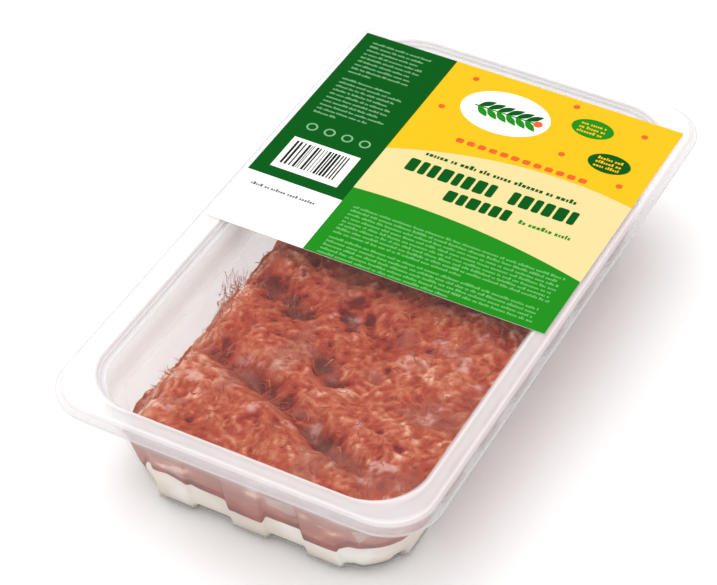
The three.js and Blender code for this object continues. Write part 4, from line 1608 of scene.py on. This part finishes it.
def build_camera():
    """Camera on the line through the target at the solved azimuth and elevation, rolled about it."""
    azimuth, elevation, roll = (math.radians(v) for v in (CAMERA_AZIMUTH, CAMERA_ELEVATION, CAMERA_ROLL))
    flat = math.cos(elevation)
    back = Vector((math.sin(azimuth) * flat, -math.cos(azimuth) * flat, math.sin(elevation)))
    level = Vector((math.cos(azimuth), math.sin(azimuth), 0.0))
    up = back.cross(level)
    right = level * math.cos(roll) + up * math.sin(roll)
    data = bpy.data.cameras.new("photo_camera")
    data.sensor_fit = "HORIZONTAL"
    data.sensor_width = SENSOR
    data.lens = FOCAL_PIXELS * SENSOR / IMAGE_WIDTH
    data.clip_end = CAMERA_REACH
    camera = bpy.data.objects.new("photo_camera", data)
    axes = Matrix((right, back.cross(right), back)).transposed()
    place = (Vector(CAMERA_TARGET) + back * CAMERA_DISTANCE) * MM
    camera.matrix_world = Matrix.Translation(place) @ axes.to_4x4()
    bpy.context.scene.collection.objects.link(camera)
    bpy.context.scene.camera = camera


# Settings, operators and panel


def colour_property(name, description, code):
    """A colour that a user may change, from an sRGB hex value."""
    return FloatVectorProperty(
        name=name, description=description, subtype="COLOR", size=3, min=0, max=1, default=linear(code)
    )


class TraySettings(bpy.types.PropertyGroup):
    """Finish of the tray."""

    plastic_colour: colour_property("Plastic", "Colour of the milky sheet", "#F6FCFC")
    milkiness: FloatProperty(
        name="Milkiness", description="How much of what is behind one face it hides",
        default=0.26, min=0.0, max=0.5, subtype="FACTOR",
    )


class MinceSettings(bpy.types.PropertyGroup):
    """Strands and colour of the mince."""

    lean_colour: colour_property("Lean meat", "Colour of the muscle", "#A74329")
    strand_width: FloatProperty(
        name="Strand width", description="Mean width of a pressed strand, in millimetres",
        default=1.1, min=0.6, max=4.0,
    )
    smear: FloatProperty(
        name="Smear", description="How far the pressed strands run into each other, in millimetres",
        default=0.4, min=0.1, max=2.0,
    )
    strand_layers: IntProperty(
        name="Layers", description="How many layers of strands are pressed together",
        default=5, min=1, max=10,
    )


class LabelSettings(bpy.types.PropertyGroup):
    """Inks of the label."""

    deep_green: colour_property("Deep green", "Side field and large marks", "#005213")
    mid_green: colour_property("Mid green", "Lower field", "#1C8318")
    yellow: colour_property("Yellow", "Upper field", "#EAB61A")
    cream: colour_property("Cream", "Middle field", "#E4CD92")


class StageSettings(bpy.types.PropertyGroup):
    """Floor and light."""

    floor_colour: colour_property("Floor", "Colour of the floor", "#FAFAFA")
    light: FloatProperty(
        name="Light", description="Power of the overhead softbox",
        default=6.4, min=0.0, unit="POWER",
    )
    fill: FloatProperty(
        name="Fill", description="Strength of the light from all round", default=0.95, min=0.0, max=10.0
    )


class MINCEPACK_OT_tray(bpy.types.Operator):
    """Build the thermoformed tray"""

    bl_idname = "mincepack.tray"
    bl_label = "Tray"

    def execute(self, context):
        build_tray(context.scene.mince_tray)
        return {"FINISHED"}


class MINCEPACK_OT_pad(bpy.types.Operator):
    """Build the absorbent pad"""

    bl_idname = "mincepack.pad"
    bl_label = "Absorbent pad"

    def execute(self, context):
        build_pad()
        return {"FINISHED"}


class MINCEPACK_OT_mince(bpy.types.Operator):
    """Build the mince and its loose strands"""

    bl_idname = "mincepack.mince"
    bl_label = "Mince"

    def execute(self, context):
        settings = context.scene.mince_meat
        relief = StrandRelief(settings)
        build_mince(settings, relief)
        build_loose_strands(settings, relief)
        return {"FINISHED"}


class MINCEPACK_OT_film(bpy.types.Operator):
    """Build the lidding film"""

    bl_idname = "mincepack.film"
    bl_label = "Lidding film"

    def execute(self, context):
        build_film()
        return {"FINISHED"}


class MINCEPACK_OT_label(bpy.types.Operator):
    """Build the printed label"""

    bl_idname = "mincepack.label"
    bl_label = "Label"

    def execute(self, context):
        build_label(context.scene.mince_label)
        return {"FINISHED"}


class MINCEPACK_OT_stage(bpy.types.Operator):
    """Build the floor, the lights and the camera"""

    bl_idname = "mincepack.stage"
    bl_label = "Stage"

    def execute(self, context):
        build_stage(context.scene.mince_stage)
        return {"FINISHED"}


class MINCEPACK_PT_panel(bpy.types.Panel):
    """Settings and build steps of the mince tray"""

    bl_idname = "MINCEPACK_PT_panel"
    bl_label = "Mince tray"
    bl_space_type = "VIEW_3D"
    bl_region_type = "UI"
    bl_category = "Mince tray"

    def draw(self, context):
        for group in SETTINGS:
            box = self.layout.box()
            settings = getattr(context.scene, group)
            for field in settings.bl_rna.properties.keys():
                if field not in ("rna_type", "name"):
                    box.prop(settings, field)
        for step in STEPS:
            self.layout.operator(step.bl_idname)


SETTINGS = {
    "mince_tray": TraySettings,
    "mince_meat": MinceSettings,
    "mince_label": LabelSettings,
    "mince_stage": StageSettings,
}
STEPS = (
    MINCEPACK_OT_stage,
    MINCEPACK_OT_tray,
    MINCEPACK_OT_pad,
    MINCEPACK_OT_mince,
    MINCEPACK_OT_film,
    MINCEPACK_OT_label,
)


def register():
    for kind in (*SETTINGS.values(), *STEPS, MINCEPACK_PT_panel):
        bpy.utils.register_class(kind)
    for name, kind in SETTINGS.items():
        setattr(bpy.types.Scene, name, PointerProperty(type=kind))


def unregister():
    for name in SETTINGS:
        delattr(bpy.types.Scene, name)
    for kind in (MINCEPACK_PT_panel, *reversed(STEPS), *SETTINGS.values()):
        bpy.utils.unregister_class(kind)


def main():
    """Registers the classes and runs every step."""
    register()
    for step in STEPS:
        group, name = step.bl_idname.split(".")
        if "FINISHED" not in getattr(getattr(bpy.ops, group), name)():
            raise RuntimeError(f"{step.bl_label} wasn't built")


if __name__ == "__main__":
    main()
